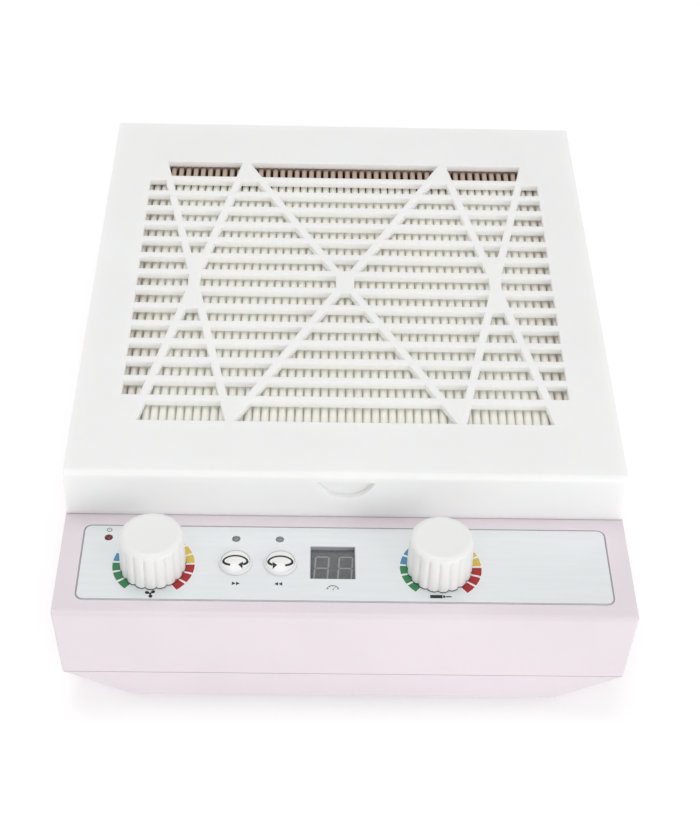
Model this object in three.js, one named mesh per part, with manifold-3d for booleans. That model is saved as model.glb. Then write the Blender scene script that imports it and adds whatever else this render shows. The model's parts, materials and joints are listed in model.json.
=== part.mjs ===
// Table-top nail dust collector with a built-in drill control.
// A pink case stands on four feet. A centrifugal fan in it draws air down through a pleated filter,
// which lies under a hinged white cover with a grille, and blows it out through slots in the back.
// Lengths are millimetres, +X is right, +Y is back and +Z is up. Inside the machine group y = 0 is
// the front of the case and z = 0 is the table.

import * as THREE from 'three';
import { mergeVertices } from 'three/addons/utils/BufferGeometryUtils.js';
import Module from 'manifold-3d';

const wasm = await Module();
wasm.setup();

// ---------------------------------------------------------------- driving dimensions
const GAP = 0.3;

const CASE_WIDTH = 236;
const CASE_DEPTH = 315;
const CASE_REAR = 313.5;
const CASE_WALL = 2.5;
const CASE_DRAFT = 1.2;
const CASE_CORNER = 1;
const FOOT_HEIGHT = 4.7;
const PAN_HEIGHT = 14.5;
const PAN_FLOOR_WIDTH = 178;
const HOUSING_HEIGHT = 37.8;

const COVER_DEPTH = 260;
const COVER_HEIGHT = 24.5;
const COVER_WALL = 2.2;
const COVER_TOP_THICKNESS = 3.2;
const COVER_DRAFT = 0.5;

const GRILLE_WIDTH = 195;
const GRILLE_DEPTH = 192.5;
const GRILLE_REAR_MARGIN = 35;
const BAR_COUNT = 14;
const BAR_PITCH = 12.6;
const BAR_WIDTH = 3.6;
const DIAGONAL_WIDTH = 3.5;
const DIAGONAL_INNER = 50;
const DIAGONAL_OUTER = 91.5;
const NARROWEST_CELL = 7;

const FILTER_WIDTH = 208;
const FILTER_DEPTH = 205;
const FILTER_HEIGHT = 19.2;
const FILTER_RIM = 4;
const PLEAT_COUNT = 54;

const PANEL_WIDTH = 218.3;
const PANEL_DEPTH = 40.8;
const PANEL_Y = 26.7;
const CONTROL_Y = 25;
const FAN_KNOB_X = -79.05;
const DRILL_KNOB_X = 38.6;
const KNOB_RADIUS = 13.5;
const KNOB_TOP_RADIUS = 13.1;
const KNOB_HEIGHT = 18;
const KNOB_FLUTES = 18;
const FORWARD_X = -45.35;
const REVERSE_X = -26.85;
const BUTTON_Y = 26.5;
const BUTTON_RADIUS = 6;
const BUTTON_TRAVEL = 0.8;
const DISPLAY_X = -5.3;
const DISPLAY_Y = 27.4;
const DISPLAY_WIDTH = 18.1;
const DISPLAY_DEPTH = 17.4;
const LED_Y = 40.1;
const LED_RADIUS = 1.5;
const POWER_LED_X = -98.7;
const FORWARD_LED_X = -45.6;
const REVERSE_LED_X = -27.4;

const FAN_Y = 183;
const IMPELLER_RADIUS = 52;
const IMPELLER_BLADES = 14;
const INLET_RADIUS = 40;
const SCROLL_START = 58;
const SCROLL_GROWTH = 16;

// ---------------------------------------------------------------- worked-out places
const PAN_BOTTOM = FOOT_HEIGHT;
const PAN_FLOOR = PAN_BOTTOM + CASE_WALL;
const PARTING = PAN_BOTTOM + PAN_HEIGHT;
const DECK = PARTING + HOUSING_HEIGHT;
const DECK_UNDER = DECK - CASE_WALL;
const COVER_BOTTOM = DECK + GAP;
const COVER_TOP = DECK + COVER_HEIGHT;
const COVER_CEILING = COVER_TOP - COVER_TOP_THICKNESS;
const COVER_Y = CASE_REAR - COVER_DEPTH / 2;
const CASE_FRONT = CASE_REAR - CASE_DEPTH;
const CASE_Y = (CASE_FRONT + CASE_REAR) / 2;
const GRILLE_Y = CASE_REAR - GRILLE_REAR_MARGIN - GRILLE_DEPTH / 2;

const HINGE_RADIUS = 2.6;
const HINGE_Y = CASE_REAR + HINGE_RADIUS + GAP;
const HINGE_Z = DECK + GAP / 2;
const HINGE_X = 72;
const HINGE_PIN_RADIUS = 1.2;
const TOTAL_DEPTH = HINGE_Y + HINGE_RADIUS - CASE_FRONT;

const PANEL_TOP = DECK + 0.2;
const PANEL_THICKNESS = 0.7;
const PANEL_RECESS = DECK - 0.8;
const KNOB_BOTTOM = PANEL_TOP + GAP;
const BOARD_TOP = 48;
const BOARD_THICKNESS = 1.6;
const DIVIDER_Y = 60;
const INLET_PLATE_BOTTOM = 44;
const INLET_PLATE_THICKNESS = 2;

const SCREW_PLACES = [
  { name: 'front_left', x: -80, y: 55.2 },
  { name: 'front_right', x: 80, y: 55.2 },
  { name: 'rear_left', x: -82, y: 293 },
  { name: 'rear_right', x: 82, y: 293 },
];
const FOOT_PLACES = [
  { name: 'front_left', x: -80, y: 32 },
  { name: 'front_right', x: 80, y: 32 },
  { name: 'rear_left', x: -80, y: 272 },
  { name: 'rear_right', x: 80, y: 272 },
];

const SWITCH_X = -60;
const SWITCH_Z = 33;
const DC_INLET_X = -92;
const DC_INLET_Z = 33;
const HANDPIECE_Y = 30;
const HANDPIECE_Z = 36;

// ---------------------------------------------------------------- materials
function material(colour, roughness, metalness = 0) {
  return new THREE.MeshStandardMaterial({ color: colour, roughness, metalness });
}

const PINK = 0xf0dbe3;
const WHITE = 0xf4f4f2;
const CREAM = 0xe9e6da;
const SILVER_WHITE = 0xdde3e6;
const BLACK = 0x1b1c1e;
const GREY = 0x85888a;
const STEEL = 0xb8bcc0;
const GREEN = 0x1f6b45;
const RUBBER = 0x2b2b2d;

// ---------------------------------------------------------------- solids
// A closed geometry becomes a solid with merged corners and outward faces.
function solid(geometry) {
  const bare = geometry.clone();
  bare.deleteAttribute('normal');
  bare.deleteAttribute('uv');
  const merged = mergeVertices(bare, 1e-4);
  const corners = merged.attributes.position.array;
  const triangles = [];
  let volume = 0;
  for (let i = 0; i < merged.index.count; i += 3) {
    const [a, b, c] = [0, 1, 2].map((k) => merged.index.getX(i + k));
    if (a === b || b === c || c === a) continue;
    triangles.push(a, b, c);
    const [p, q, r] = [a, b, c].map((k) => new THREE.Vector3().fromArray(corners, 3 * k));
    volume += p.dot(q.cross(r));
  }
  if (volume < 0) triangles.reverse();
  return new wasm.Manifold(new wasm.Mesh({
    numProp: 3,
    vertProperties: new Float32Array(corners),
    triVerts: new Uint32Array(triangles),
  }));
}

function joined(first, ...others) {
  return others.reduce((whole, piece) => whole.add(piece), first);
}

function cut(body, ...tools) {
  return tools.reduce((rest, tool) => rest.subtract(tool), body);
}

function geometryOf(body) {
  const mesh = body.getMesh();
  const geometry = new THREE.BufferGeometry();
  geometry.setAttribute('position', new THREE.BufferAttribute(new Float32Array(mesh.vertProperties), 3));
  geometry.setIndex(new THREE.BufferAttribute(new Uint32Array(mesh.triVerts), 1));
  geometry.computeVertexNormals();
  return geometry;
}

// A box centred on x and y, standing on z.
function slab(width, depth, height, x, y, z) {
  return solid(new THREE.BoxGeometry(width, depth, height).translate(x, y, z + height / 2));
}

// An upright cylinder standing on z.
function drum(radius, height, x, y, z, sides = 24) {
  const geometry = new THREE.CylinderGeometry(radius, radius, height, sides);
  return solid(geometry.rotateX(Math.PI / 2).translate(x, y, z + height / 2));
}

// A cylinder along X, centred on x.
function rod(radius, length, x, y, z, sides = 16) {
  const geometry = new THREE.CylinderGeometry(radius, radius, length, sides);
  return solid(geometry.rotateZ(Math.PI / 2).translate(x, y, z));
}

// A cylinder along Y from frontY to the back.
function plug(radius, length, x, frontY, z, sides = 24) {
  const geometry = new THREE.CylinderGeometry(radius, radius, length, sides);
  return solid(geometry.translate(x, frontY + length / 2, z));
}

function roundedShape(width, depth, radius) {
  const shape = new THREE.Shape();
  const x = width / 2 - radius;
  const y = depth / 2 - radius;
  shape.absarc(x, y, radius, 0, Math.PI / 2);
  shape.absarc(-x, y, radius, Math.PI / 2, Math.PI);
  shape.absarc(-x, -y, radius, Math.PI, 1.5 * Math.PI);
  shape.absarc(x, -y, radius, 1.5 * Math.PI, 2 * Math.PI);
  shape.closePath();
  return shape;
}

function extruded(shape, height, curveSegments = 2) {
  return new THREE.ExtrudeGeometry(shape, { depth: height, bevelEnabled: false, curveSegments });
}

// A rounded rectangular block centred on x and y, standing on z.
function block(width, depth, height, radius, x, y, z) {
  return solid(extruded(roundedShape(width, depth, radius), height).translate(x, y, z));
}

// The same block with all four sides leaning in by lean at its narrow end.
function leaningBlock(width, depth, height, radius, y, z, lean, narrowEnd) {
  const geometry = extruded(roundedShape(width, depth, radius), height);
  const position = geometry.attributes.position;
  for (let i = 0; i < position.count; i += 1) {
    const rise = position.getZ(i) / height;
    const inset = lean * (narrowEnd === 'top' ? rise : 1 - rise);
    position.setX(i, position.getX(i) * (1 - 2 * inset / width));
    position.setY(i, position.getY(i) * (1 - 2 * inset / depth));
  }
  return solid(geometry.translate(0, y, z));
}

// A frame: a rounded block with a smaller one cut out of its middle.
function frame(width, depth, height, rim, radius, x, y, z, innerRadius = radius) {
  const outer = block(width, depth, height, radius, x, y, z);
  const inner = block(width - 2 * rim, depth - 2 * rim, height + 2, innerRadius, x, y, z - 1);
  return cut(outer, inner);
}

// A flat polygon of [x, y] points, extruded up from z.
function polygon(points, height, z) {
  const shape = new THREE.Shape(points.map(([x, y]) => new THREE.Vector2(x, y)));
  return solid(extruded(shape, height).translate(0, 0, z));
}

// A polygon of [x, z] points, extruded from frontY to the back.
function sidewaysPolygon(points, frontY, length) {
  const shape = new THREE.Shape(points.map(([x, z]) => new THREE.Vector2(x, z)));
  return solid(extruded(shape, length).rotateX(Math.PI / 2).translate(0, frontY + length, 0));
}

// A polygon of [y, z] points, extruded along X and centred on x.
function crossPolygon(points, width, x) {
  const shape = new THREE.Shape(points.map(([y, z]) => new THREE.Vector2(y, z)));
  const geometry = extruded(shape, width).rotateX(Math.PI / 2).rotateZ(Math.PI / 2);
  return solid(geometry.translate(x - width / 2, 0, 0));
}

// A turned shape from [radius, z] points that start and end on the axis.
function turned(profile, x, y, z, sides = 24) {
  const points = profile.map(([radius, height]) => new THREE.Vector2(radius, height));
  return solid(new THREE.LatheGeometry(points, sides).rotateX(Math.PI / 2).translate(x, y, z));
}

// A turned ring from [radius, z] points, closed on its first point.
function turnedRing(profile, x, y, z, sides = 24) {
  return turned([...profile, profile[0]], x, y, z, sides);
}

// A round wire along a smooth curve through [x, y, z] points.
function wire(points, radius, steps = 20) {
  const curve = new THREE.CatmullRomCurve3(points.map((point) => new THREE.Vector3(...point)));
  const section = new THREE.Shape().absarc(0, 0, radius, 0, 2 * Math.PI);
  return solid(new THREE.ExtrudeGeometry(section, { steps, curveSegments: 3, extrudePath: curve }));
}

// ---------------------------------------------------------------- the machine
const machine = new THREE.Group();
machine.position.y = -(CASE_FRONT + TOTAL_DEPTH / 2);

function addPart(name, body, look) {
  const mesh = new THREE.Mesh(geometryOf(body), look);
  mesh.name = name;
  machine.add(mesh);
}

// ---------------------------------------------------------------- hinges of the cover
const KNUCKLE_LENGTH = 14;
const EAR_LENGTH = 7;
const EAR_OFFSET = KNUCKLE_LENGTH / 2 + EAR_LENGTH / 2 + 0.4;

// The barrel on the cover, with an arm forward into the cover's rear wall.
function coverKnuckle(x) {
  const armFront = CASE_REAR - COVER_WALL;
  const armDepth = HINGE_Y - armFront;
  const armBottom = COVER_BOTTOM + 0.1;
  const armHeight = HINGE_Z + HINGE_RADIUS - armBottom;
  const arm = slab(KNUCKLE_LENGTH, armDepth, armHeight, x, armFront + armDepth / 2, armBottom);
  return rod(HINGE_RADIUS, KNUCKLE_LENGTH, x, HINGE_Y, HINGE_Z).add(arm);
}

// An ear on the case, with an arm forward into the case's rear wall.
function caseEar(x) {
  const armFront = CASE_REAR - CASE_WALL;
  const armDepth = HINGE_Y - armFront;
  const armBottom = HINGE_Z - HINGE_RADIUS;
  const armHeight = DECK - 0.1 - armBottom;
  const arm = slab(EAR_LENGTH, armDepth, armHeight, x, armFront + armDepth / 2, armBottom);
  return rod(HINGE_RADIUS, EAR_LENGTH, x, HINGE_Y, HINGE_Z).add(arm);
}

function pinBore(x) {
  return rod(HINGE_PIN_RADIUS + GAP, 40, x, HINGE_Y, HINGE_Z, 10);
}

// ---------------------------------------------------------------- upper case
const AIR_WIDTH = FILTER_WIDTH - 10;
const AIR_DEPTH = FILTER_DEPTH - 10;
const SEAT_RIM_CLEARANCE = 0.8;
const SEAT_RIM_WALL = 2.4;
const SEAT_RIM_HEIGHT = 5;

function filterSeatRim() {
  const grow = 2 * (SEAT_RIM_CLEARANCE + SEAT_RIM_WALL);
  return frame(FILTER_WIDTH + grow, FILTER_DEPTH + grow, SEAT_RIM_HEIGHT + 1, SEAT_RIM_WALL, 2,
    0, GRILLE_Y, DECK - 1);
}

function seatRibs() {
  const ribs = [];
  for (const side of [-1, 1]) {
    ribs.push(slab(4, AIR_DEPTH + 4, CASE_WALL, side * AIR_WIDTH / 6, GRILLE_Y, DECK_UNDER));
    ribs.push(slab(AIR_WIDTH + 4, 4, CASE_WALL, 0, GRILLE_Y + side * AIR_DEPTH / 6, DECK_UNDER));
  }
  return ribs;
}

function screwBosses() {
  const bottom = PAN_FLOOR + 2.5;
  return SCREW_PLACES.map(({ x, y }) => cut(
    drum(4, DECK_UNDER + 1 - bottom, x, y, bottom, 12),
    drum(1.2 + GAP, 20, x, y, bottom - 1, 8),
  ));
}

// Holes through the deck and the recess for everything on the control panel.
function panelOpenings(bottom, height) {
  const holes = [FAN_KNOB_X, DRILL_KNOB_X].map((x) => drum(4, height, x, CONTROL_Y, bottom, 12));
  for (const x of [FORWARD_X, REVERSE_X]) {
    holes.push(drum(BUTTON_RADIUS + GAP, height, x, BUTTON_Y, bottom, 20));
  }
  for (const x of [POWER_LED_X, FORWARD_LED_X, REVERSE_LED_X]) {
    holes.push(drum(LED_RADIUS + GAP, height, x, LED_Y, bottom, 8));
  }
  holes.push(slab(DISPLAY_WIDTH + 0.6, DISPLAY_DEPTH + 0.6, height, DISPLAY_X, DISPLAY_Y, bottom));
  return holes;
}

const EXHAUST_SLOTS = 12;
const EXHAUST_PITCH = 6.2;
const EXHAUST_FIRST_X = 16;

function exhaustSlots() {
  const slots = [];
  for (let i = 0; i < EXHAUST_SLOTS; i += 1) {
    slots.push(slab(3, 10, 20, EXHAUST_FIRST_X + i * EXHAUST_PITCH, CASE_REAR - 1, 23));
  }
  return slots;
}

function upperCase() {
  const outer = leaningBlock(CASE_WIDTH, CASE_DEPTH, HOUSING_HEIGHT, CASE_CORNER,
    CASE_Y, PARTING, CASE_DRAFT, 'bottom');
  const inner = leaningBlock(CASE_WIDTH - 2 * CASE_WALL, CASE_DEPTH - 2 * CASE_WALL,
    HOUSING_HEIGHT - CASE_WALL + 1, 1, CASE_Y, PARTING - 1, CASE_DRAFT, 'bottom');
  const recess = block(PANEL_WIDTH + 2 * GAP, PANEL_DEPTH + 2 * GAP, 5, 3.4, 0, PANEL_Y, PANEL_RECESS);
  const air = block(AIR_WIDTH, AIR_DEPTH, 20, 3, 0, GRILLE_Y, DECK_UNDER - 5);
  const dividerBottom = PARTING + 4;
  const divider = slab(CASE_WIDTH - 5, 2, DECK_UNDER + 1 - dividerBottom, 0, DIVIDER_Y, dividerBottom);
  const cableNotch = slab(16, 6, 8, 50, DIVIDER_Y, dividerBottom - 1);
  const switchHole = slab(13.2, 12, 19.2, SWITCH_X, CASE_REAR - 1, SWITCH_Z - 9.6);
  const inletHole = plug(5.8, 12, DC_INLET_X, CASE_REAR - 6, DC_INLET_Z);
  const handpieceHole = rod(7.3, 12, CASE_WIDTH / 2, HANDPIECE_Y, HANDPIECE_Z, 24);
  const shell = cut(outer, inner, air, recess, ...panelOpenings(DECK_UNDER - 2, 12), handpieceHole);
  const fitted = joined(shell, filterSeatRim(), ...seatRibs(), cut(divider, cableNotch), ...screwBosses());
  const ears = [-HINGE_X, HINGE_X].flatMap((x) => [caseEar(x - EAR_OFFSET), caseEar(x + EAR_OFFSET)]);
  return cut(joined(fitted, ...ears), pinBore(-HINGE_X), pinBore(HINGE_X),
    switchHole, inletHole, ...exhaustSlots());
}

addPart('upper_case', upperCase(), material(PINK, 0.42));

// ---------------------------------------------------------------- bottom pan
const PAN_TOP = PARTING - GAP;
const SCREW_HEAD_RADIUS = 2.8;

// The pan's outline seen from the front, grown inward by inset.
function panSection(inset) {
  const floorHalf = PAN_FLOOR_WIDTH / 2 - 0.4 * inset;
  const topHalf = CASE_WIDTH / 2 - CASE_DRAFT - inset;
  const bottom = PAN_BOTTOM + inset;
  return [[-floorHalf, bottom], [floorHalf, bottom], [topHalf, PARTING], [topHalf, PARTING + 9],
    [-topHalf, PARTING + 9], [-topHalf, PARTING]];
}

function panVents() {
  const vents = [];
  for (const side of [-1, 1]) {
    for (let i = 0; i < 7; i += 1) {
      vents.push(slab(3, 34, 8, side * (18 + 7 * i), 80, PAN_BOTTOM - 2));
    }
  }
  return vents;
}

function bottomPan() {
  const width = CASE_WIDTH - 2 * CASE_DRAFT;
  const depth = CASE_DEPTH - 2 * CASE_DRAFT;
  const outer = block(width, depth, PAN_TOP - PAN_BOTTOM, CASE_CORNER, 0, CASE_Y, PAN_BOTTOM)
    .intersect(sidewaysPolygon(panSection(0), CASE_FRONT - 1, CASE_DEPTH + 2));
  const inner = block(width - 2 * CASE_WALL, depth - 2 * CASE_WALL, PAN_HEIGHT, 1, 0, CASE_Y, PAN_FLOOR)
    .intersect(sidewaysPolygon(panSection(CASE_WALL), CASE_FRONT - 1, CASE_DEPTH + 2));
  const lipWall = 1.4;
  const lip = frame(width - 2 * CASE_WALL - 2 * GAP, depth - 2 * CASE_WALL - 2 * GAP, 6.5, lipWall, 1,
    0, CASE_Y, PARTING - 3.5);
  const lipRoot = frame(width - CASE_WALL, depth - CASE_WALL, 3, CASE_WALL, 1, 0, CASE_Y, PAN_TOP - 3.2);
  const lipSection = sidewaysPolygon(panSection(0.8), CASE_FRONT - 1, CASE_DEPTH + 2);
  const innerLip = joined(lip, lipRoot).intersect(lipSection);
  const seats = SCREW_PLACES.map(({ x, y }) => drum(4.6, 2.2, x, y, PAN_FLOOR - 0.5, 12));
  const heads = SCREW_PLACES.map(({ x, y }) => drum(SCREW_HEAD_RADIUS + GAP, 4, x, y, PAN_BOTTOM - 1.4, 12));
  const shanks = SCREW_PLACES.map(({ x, y }) => drum(1.2 + GAP, 12, x, y, PAN_BOTTOM - 1, 8));
  const footHoles = FOOT_PLACES.map(({ x, y }) => drum(2.2 + GAP, 8, x, y, PAN_BOTTOM - 2, 8));
  return cut(joined(cut(outer, inner), innerLip, ...seats), ...heads, ...shanks, ...footHoles,
    ...panVents());
}

addPart('bottom_pan', bottomPan(), material(PINK, 0.45));

for (const { name, x, y } of SCREW_PLACES) {
  const head = drum(SCREW_HEAD_RADIUS, 1.8, x, y, PAN_BOTTOM + 0.5, 12);
  const shank = drum(1.2, 17, x, y, PAN_BOTTOM + 2, 8);
  addPart(`case_screw_${name}`, joined(head, shank), material(STEEL, 0.35, 1));
}

for (const { name, x, y } of FOOT_PLACES) {
  const profile = [[0, 0], [6.2, 0], [7, 0.8], [7, FOOT_HEIGHT - GAP], [2.2, FOOT_HEIGHT - GAP],
    [2.2, PAN_FLOOR + 1], [0, PAN_FLOOR + 1]];
  addPart(`foot_${name}`, turned(profile, x, y, 0, 16), material(RUBBER, 0.9));
}

// ---------------------------------------------------------------- cover with the grille
const GRILLE_REAR = GRILLE_Y + GRILLE_DEPTH / 2;
const GRILLE_FRONT = GRILLE_Y - GRILLE_DEPTH / 2;

// Each diagonal runs from its x at the rear edge of the grille to its x at the front edge.
const DIAGONALS = [
  { rearX: -DIAGONAL_INNER, frontX: -DIAGONAL_OUTER },
  { rearX: -DIAGONAL_OUTER, frontX: -DIAGONAL_INNER },
  { rearX: -DIAGONAL_INNER, frontX: DIAGONAL_INNER },
  { rearX: DIAGONAL_INNER, frontX: -DIAGONAL_INNER },
  { rearX: DIAGONAL_OUTER, frontX: DIAGONAL_INNER },
  { rearX: DIAGONAL_INNER, frontX: DIAGONAL_OUTER },
];

function barY(index) {
  return GRILLE_Y + BAR_PITCH * ((BAR_COUNT - 1) / 2 - index);
}

function diagonalX(diagonal, y) {
  return THREE.MathUtils.mapLinear(y, GRILLE_REAR, GRILLE_FRONT, diagonal.rearX, diagonal.frontX);
}

// The places along X that bound the open cells at one y: the grille's sides and both edges of each diagonal.
function cellEdges(y) {
  const spans = DIAGONALS.map((diagonal) => {
    const run = Math.hypot(diagonal.frontX - diagonal.rearX, GRILLE_DEPTH);
    const half = DIAGONAL_WIDTH * run / GRILLE_DEPTH / 2;
    const x = diagonalX(diagonal, y);
    return [x - half, x + half];
  });
  spans.sort((first, second) => first[0] + first[1] - second[0] - second[1]);
  return [-GRILLE_WIDTH / 2, ...spans.flat(), GRILLE_WIDTH / 2];
}

// The open cells of one slot row, as upright prisms. Row 0 is the rear one, and narrow cells stay closed.
function openCells(row) {
  const rearY = row === 0 ? GRILLE_REAR : barY(row - 1) - BAR_WIDTH / 2;
  const frontY = row === BAR_COUNT ? GRILLE_FRONT : barY(row) + BAR_WIDTH / 2;
  const rear = cellEdges(rearY);
  const front = cellEdges(frontY);
  const cells = [];
  for (let i = 0; i < rear.length; i += 2) {
    const widest = Math.max(rear[i + 1] - rear[i], front[i + 1] - front[i]);
    if (widest < NARROWEST_CELL) continue;
    const points = [[front[i], frontY], [front[i + 1], frontY], [rear[i + 1], rearY], [rear[i], rearY]];
    cells.push(polygon(points, COVER_TOP_THICKNESS + 8, COVER_CEILING - 4));
  }
  return cells;
}

const SCOOP_RADIUS = 12.6;
const SCOOP_Z = COVER_TOP - 0.9;
const SCOOP_DEPTH = 2.6;
const SCOOP_LIP = 4.6;

// A half-moon pocket under the cover's front lip, for a finger.
function halfMoon(radius, frontY, depth, top) {
  const disc = plug(radius, depth, 0, frontY, SCOOP_Z, 40);
  return cut(disc, slab(60, 40, 40, 0, frontY, top));
}

function topCover() {
  const frontY = CASE_REAR - COVER_DEPTH;
  const outer = leaningBlock(CASE_WIDTH, COVER_DEPTH, COVER_TOP - COVER_BOTTOM, CASE_CORNER,
    COVER_Y, COVER_BOTTOM, COVER_DRAFT, 'top');
  const inner = block(CASE_WIDTH - 2 * COVER_WALL - 1, COVER_DEPTH - 2 * COVER_WALL - 1,
    COVER_CEILING - COVER_BOTTOM + 1, 1.5, 0, COVER_Y, COVER_BOTTOM - 1);
  const cells = Array.from({ length: BAR_COUNT + 1 }, (_, row) => openCells(row)).flat();
  const backing = halfMoon(SCOOP_RADIUS + 2, frontY + 1.5, SCOOP_DEPTH + 1.5, COVER_CEILING + 1);
  const scoop = halfMoon(SCOOP_RADIUS, frontY - 5, SCOOP_DEPTH + 5.4, COVER_TOP - SCOOP_LIP);
  const shell = joined(cut(outer, inner), backing, coverKnuckle(-HINGE_X), coverKnuckle(HINGE_X));
  return cut(shell, ...cells, scoop, pinBore(-HINGE_X), pinBore(HINGE_X));
}

addPart('top_cover', topCover(), material(WHITE, 0.35));

const PIN_LENGTH = KNUCKLE_LENGTH + 2 * EAR_LENGTH + 1.4;
for (const [side, x] of [['left', -HINGE_X], ['right', HINGE_X]]) {
  addPart(`hinge_pin_${side}`, rod(HINGE_PIN_RADIUS, PIN_LENGTH, x, HINGE_Y, HINGE_Z, 10),
    material(STEEL, 0.3, 1));
}

// ---------------------------------------------------------------- filter cartridge
const GASKET_THICKNESS = 1;
const FILTER_BOTTOM = DECK + GAP + GASKET_THICKNESS + GAP;

addPart('filter_gasket', frame(FILTER_WIDTH - 2, FILTER_DEPTH - 2, GASKET_THICKNESS, 3.6, 2,
  0, GRILLE_Y, DECK + GAP), material(0x4a4a4c, 0.95));
addPart('filter_frame', frame(FILTER_WIDTH, FILTER_DEPTH, FILTER_HEIGHT, FILTER_RIM, 1.5,
  0, GRILLE_Y, FILTER_BOTTOM, 0.3), material(CREAM, 0.8));

// A pack of folded paper, with a row of sharp folds along its top.
function filterPack() {
  const width = FILTER_WIDTH - 2 * FILTER_RIM - 2 * GAP;
  const depth = FILTER_DEPTH - 2 * FILTER_RIM - 2 * GAP;
  const pitch = width / PLEAT_COUNT;
  const crest = FILTER_BOTTOM + FILTER_HEIGHT - 0.6;
  const valley = FILTER_BOTTOM + 6;
  const points = [[width / 2, FILTER_BOTTOM + 0.6], [-width / 2, FILTER_BOTTOM + 0.6]];
  for (let i = 0; i < PLEAT_COUNT; i += 1) {
    const left = -width / 2 + i * pitch;
    points.push([left, valley], [left + 0.35 * pitch, crest], [left + 0.65 * pitch, crest]);
  }
  points.push([width / 2, valley]);
  return sidewaysPolygon(points.reverse(), GRILLE_Y - depth / 2, depth);
}

addPart('filter_pleats', filterPack(), material(0xdcd8ca, 0.9));

// ---------------------------------------------------------------- control panel
function controlPanel() {
  const label = block(PANEL_WIDTH, PANEL_DEPTH, PANEL_THICKNESS, 3.2, 0, PANEL_Y,
    PANEL_TOP - PANEL_THICKNESS);
  return cut(label, ...panelOpenings(PANEL_TOP - 3, 6));
}

addPart('control_panel', controlPanel(), material(SILVER_WHITE, 0.4, 0.2));

// A fluted knob that tapers up to a rounded shoulder and a flat top, open below for its shaft.
// One of its grooves is at turn, and the others are at equal steps from it.
function knob(x, turn) {
  const outline = new THREE.Shape();
  const steps = KNOB_FLUTES * 4;
  const fluteDepth = 0.6;
  for (let i = 0; i < steps; i += 1) {
    const angle = 2 * Math.PI * i / steps;
    const radius = KNOB_RADIUS - fluteDepth * (1 + Math.cos(KNOB_FLUTES * angle)) / 2;
    const [c, s] = [Math.cos(angle + turn), Math.sin(angle + turn)];
    outline[i === 0 ? 'moveTo' : 'lineTo'](radius * c, radius * s);
  }
  const fluted = solid(extruded(outline, KNOB_HEIGHT).translate(x, CONTROL_Y, KNOB_BOTTOM));
  const cap = turned([[0, 0], [KNOB_RADIUS + 0.1, 0], [KNOB_TOP_RADIUS + 0.1, KNOB_HEIGHT - 2],
    [KNOB_TOP_RADIUS - 0.4, KNOB_HEIGHT - 1], [KNOB_TOP_RADIUS - 1.5, KNOB_HEIGHT - 0.25],
    [KNOB_TOP_RADIUS - 2.9, KNOB_HEIGHT], [0, KNOB_HEIGHT]], x, CONTROL_Y, KNOB_BOTTOM, 36);
  return cut(fluted.intersect(cap), drum(3 + GAP, KNOB_HEIGHT - 3, x, CONTROL_Y, KNOB_BOTTOM - 1));
}

const SHAFT_BOTTOM = BOARD_TOP + 2;
const POT_RADIUS = 8;
const DRILL_KNOB_TURN = THREE.MathUtils.degToRad(5);
for (const [name, x, turn] of [['fan', FAN_KNOB_X, 0], ['drill', DRILL_KNOB_X, DRILL_KNOB_TURN]]) {
  addPart(`${name}_knob`, knob(x, turn), material(WHITE, 0.3));
  addPart(`${name}_dial_shaft`, drum(3, KNOB_BOTTOM + KNOB_HEIGHT - 6 - SHAFT_BOTTOM, x, CONTROL_Y,
    SHAFT_BOTTOM, 16), material(STEEL, 0.35, 1));
  const pot = cut(drum(POT_RADIUS, 5.6, x, CONTROL_Y, BOARD_TOP + GAP), drum(3 + GAP, 10, x, CONTROL_Y,
    SHAFT_BOTTOM - GAP, 16));
  addPart(`${name}_dial_base`, pot, material(GREY, 0.4, 0.6));
}

const KEY_SWITCH_BASE = 3.4;
const KEY_SWITCH_TOP = BOARD_TOP + GAP + 4.2;
const BUTTON_BOTTOM = KEY_SWITCH_TOP + BUTTON_TRAVEL + GAP;
const BUTTON_TOP = PANEL_TOP + 2.2;
for (const [name, x] of [['forward', FORWARD_X], ['reverse', REVERSE_X]]) {
  const dome = [[0, 0], [BUTTON_RADIUS, 0], [BUTTON_RADIUS, BUTTON_TOP - BUTTON_BOTTOM - 1.1],
    [BUTTON_RADIUS - 1.1, BUTTON_TOP - BUTTON_BOTTOM - 0.3], [0, BUTTON_TOP - BUTTON_BOTTOM]];
  addPart(`${name}_button`, turned(dome, x, BUTTON_Y, BUTTON_BOTTOM), material(WHITE, 0.2));
  const collar = [[BUTTON_RADIUS + GAP, 0], [BUTTON_RADIUS + 0.95, 0], [BUTTON_RADIUS + 0.8, 0.9],
    [BUTTON_RADIUS + GAP, 1.2]];
  addPart(`${name}_button_ring`, turnedRing(collar, x, BUTTON_Y, PANEL_TOP + GAP / 3),
    material(SILVER_WHITE, 0.25, 0.3));
  const keySwitch = joined(slab(6, 6, KEY_SWITCH_BASE, x, BUTTON_Y, BOARD_TOP + GAP),
    drum(1.7, KEY_SWITCH_TOP - BOARD_TOP - 1, x, BUTTON_Y, BOARD_TOP + 1, 12));
  addPart(`${name}_key_switch`, keySwitch, material(BLACK, 0.5));
}

addPart('display_lens', slab(DISPLAY_WIDTH, DISPLAY_DEPTH, 1.4, DISPLAY_X, DISPLAY_Y, PANEL_TOP - 3.4),
  material(0x54585b, 0.15));
addPart('display_module', slab(22, 20, 4.6, DISPLAY_X, DISPLAY_Y, BOARD_TOP + GAP),
  material(BLACK, 0.5));

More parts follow.
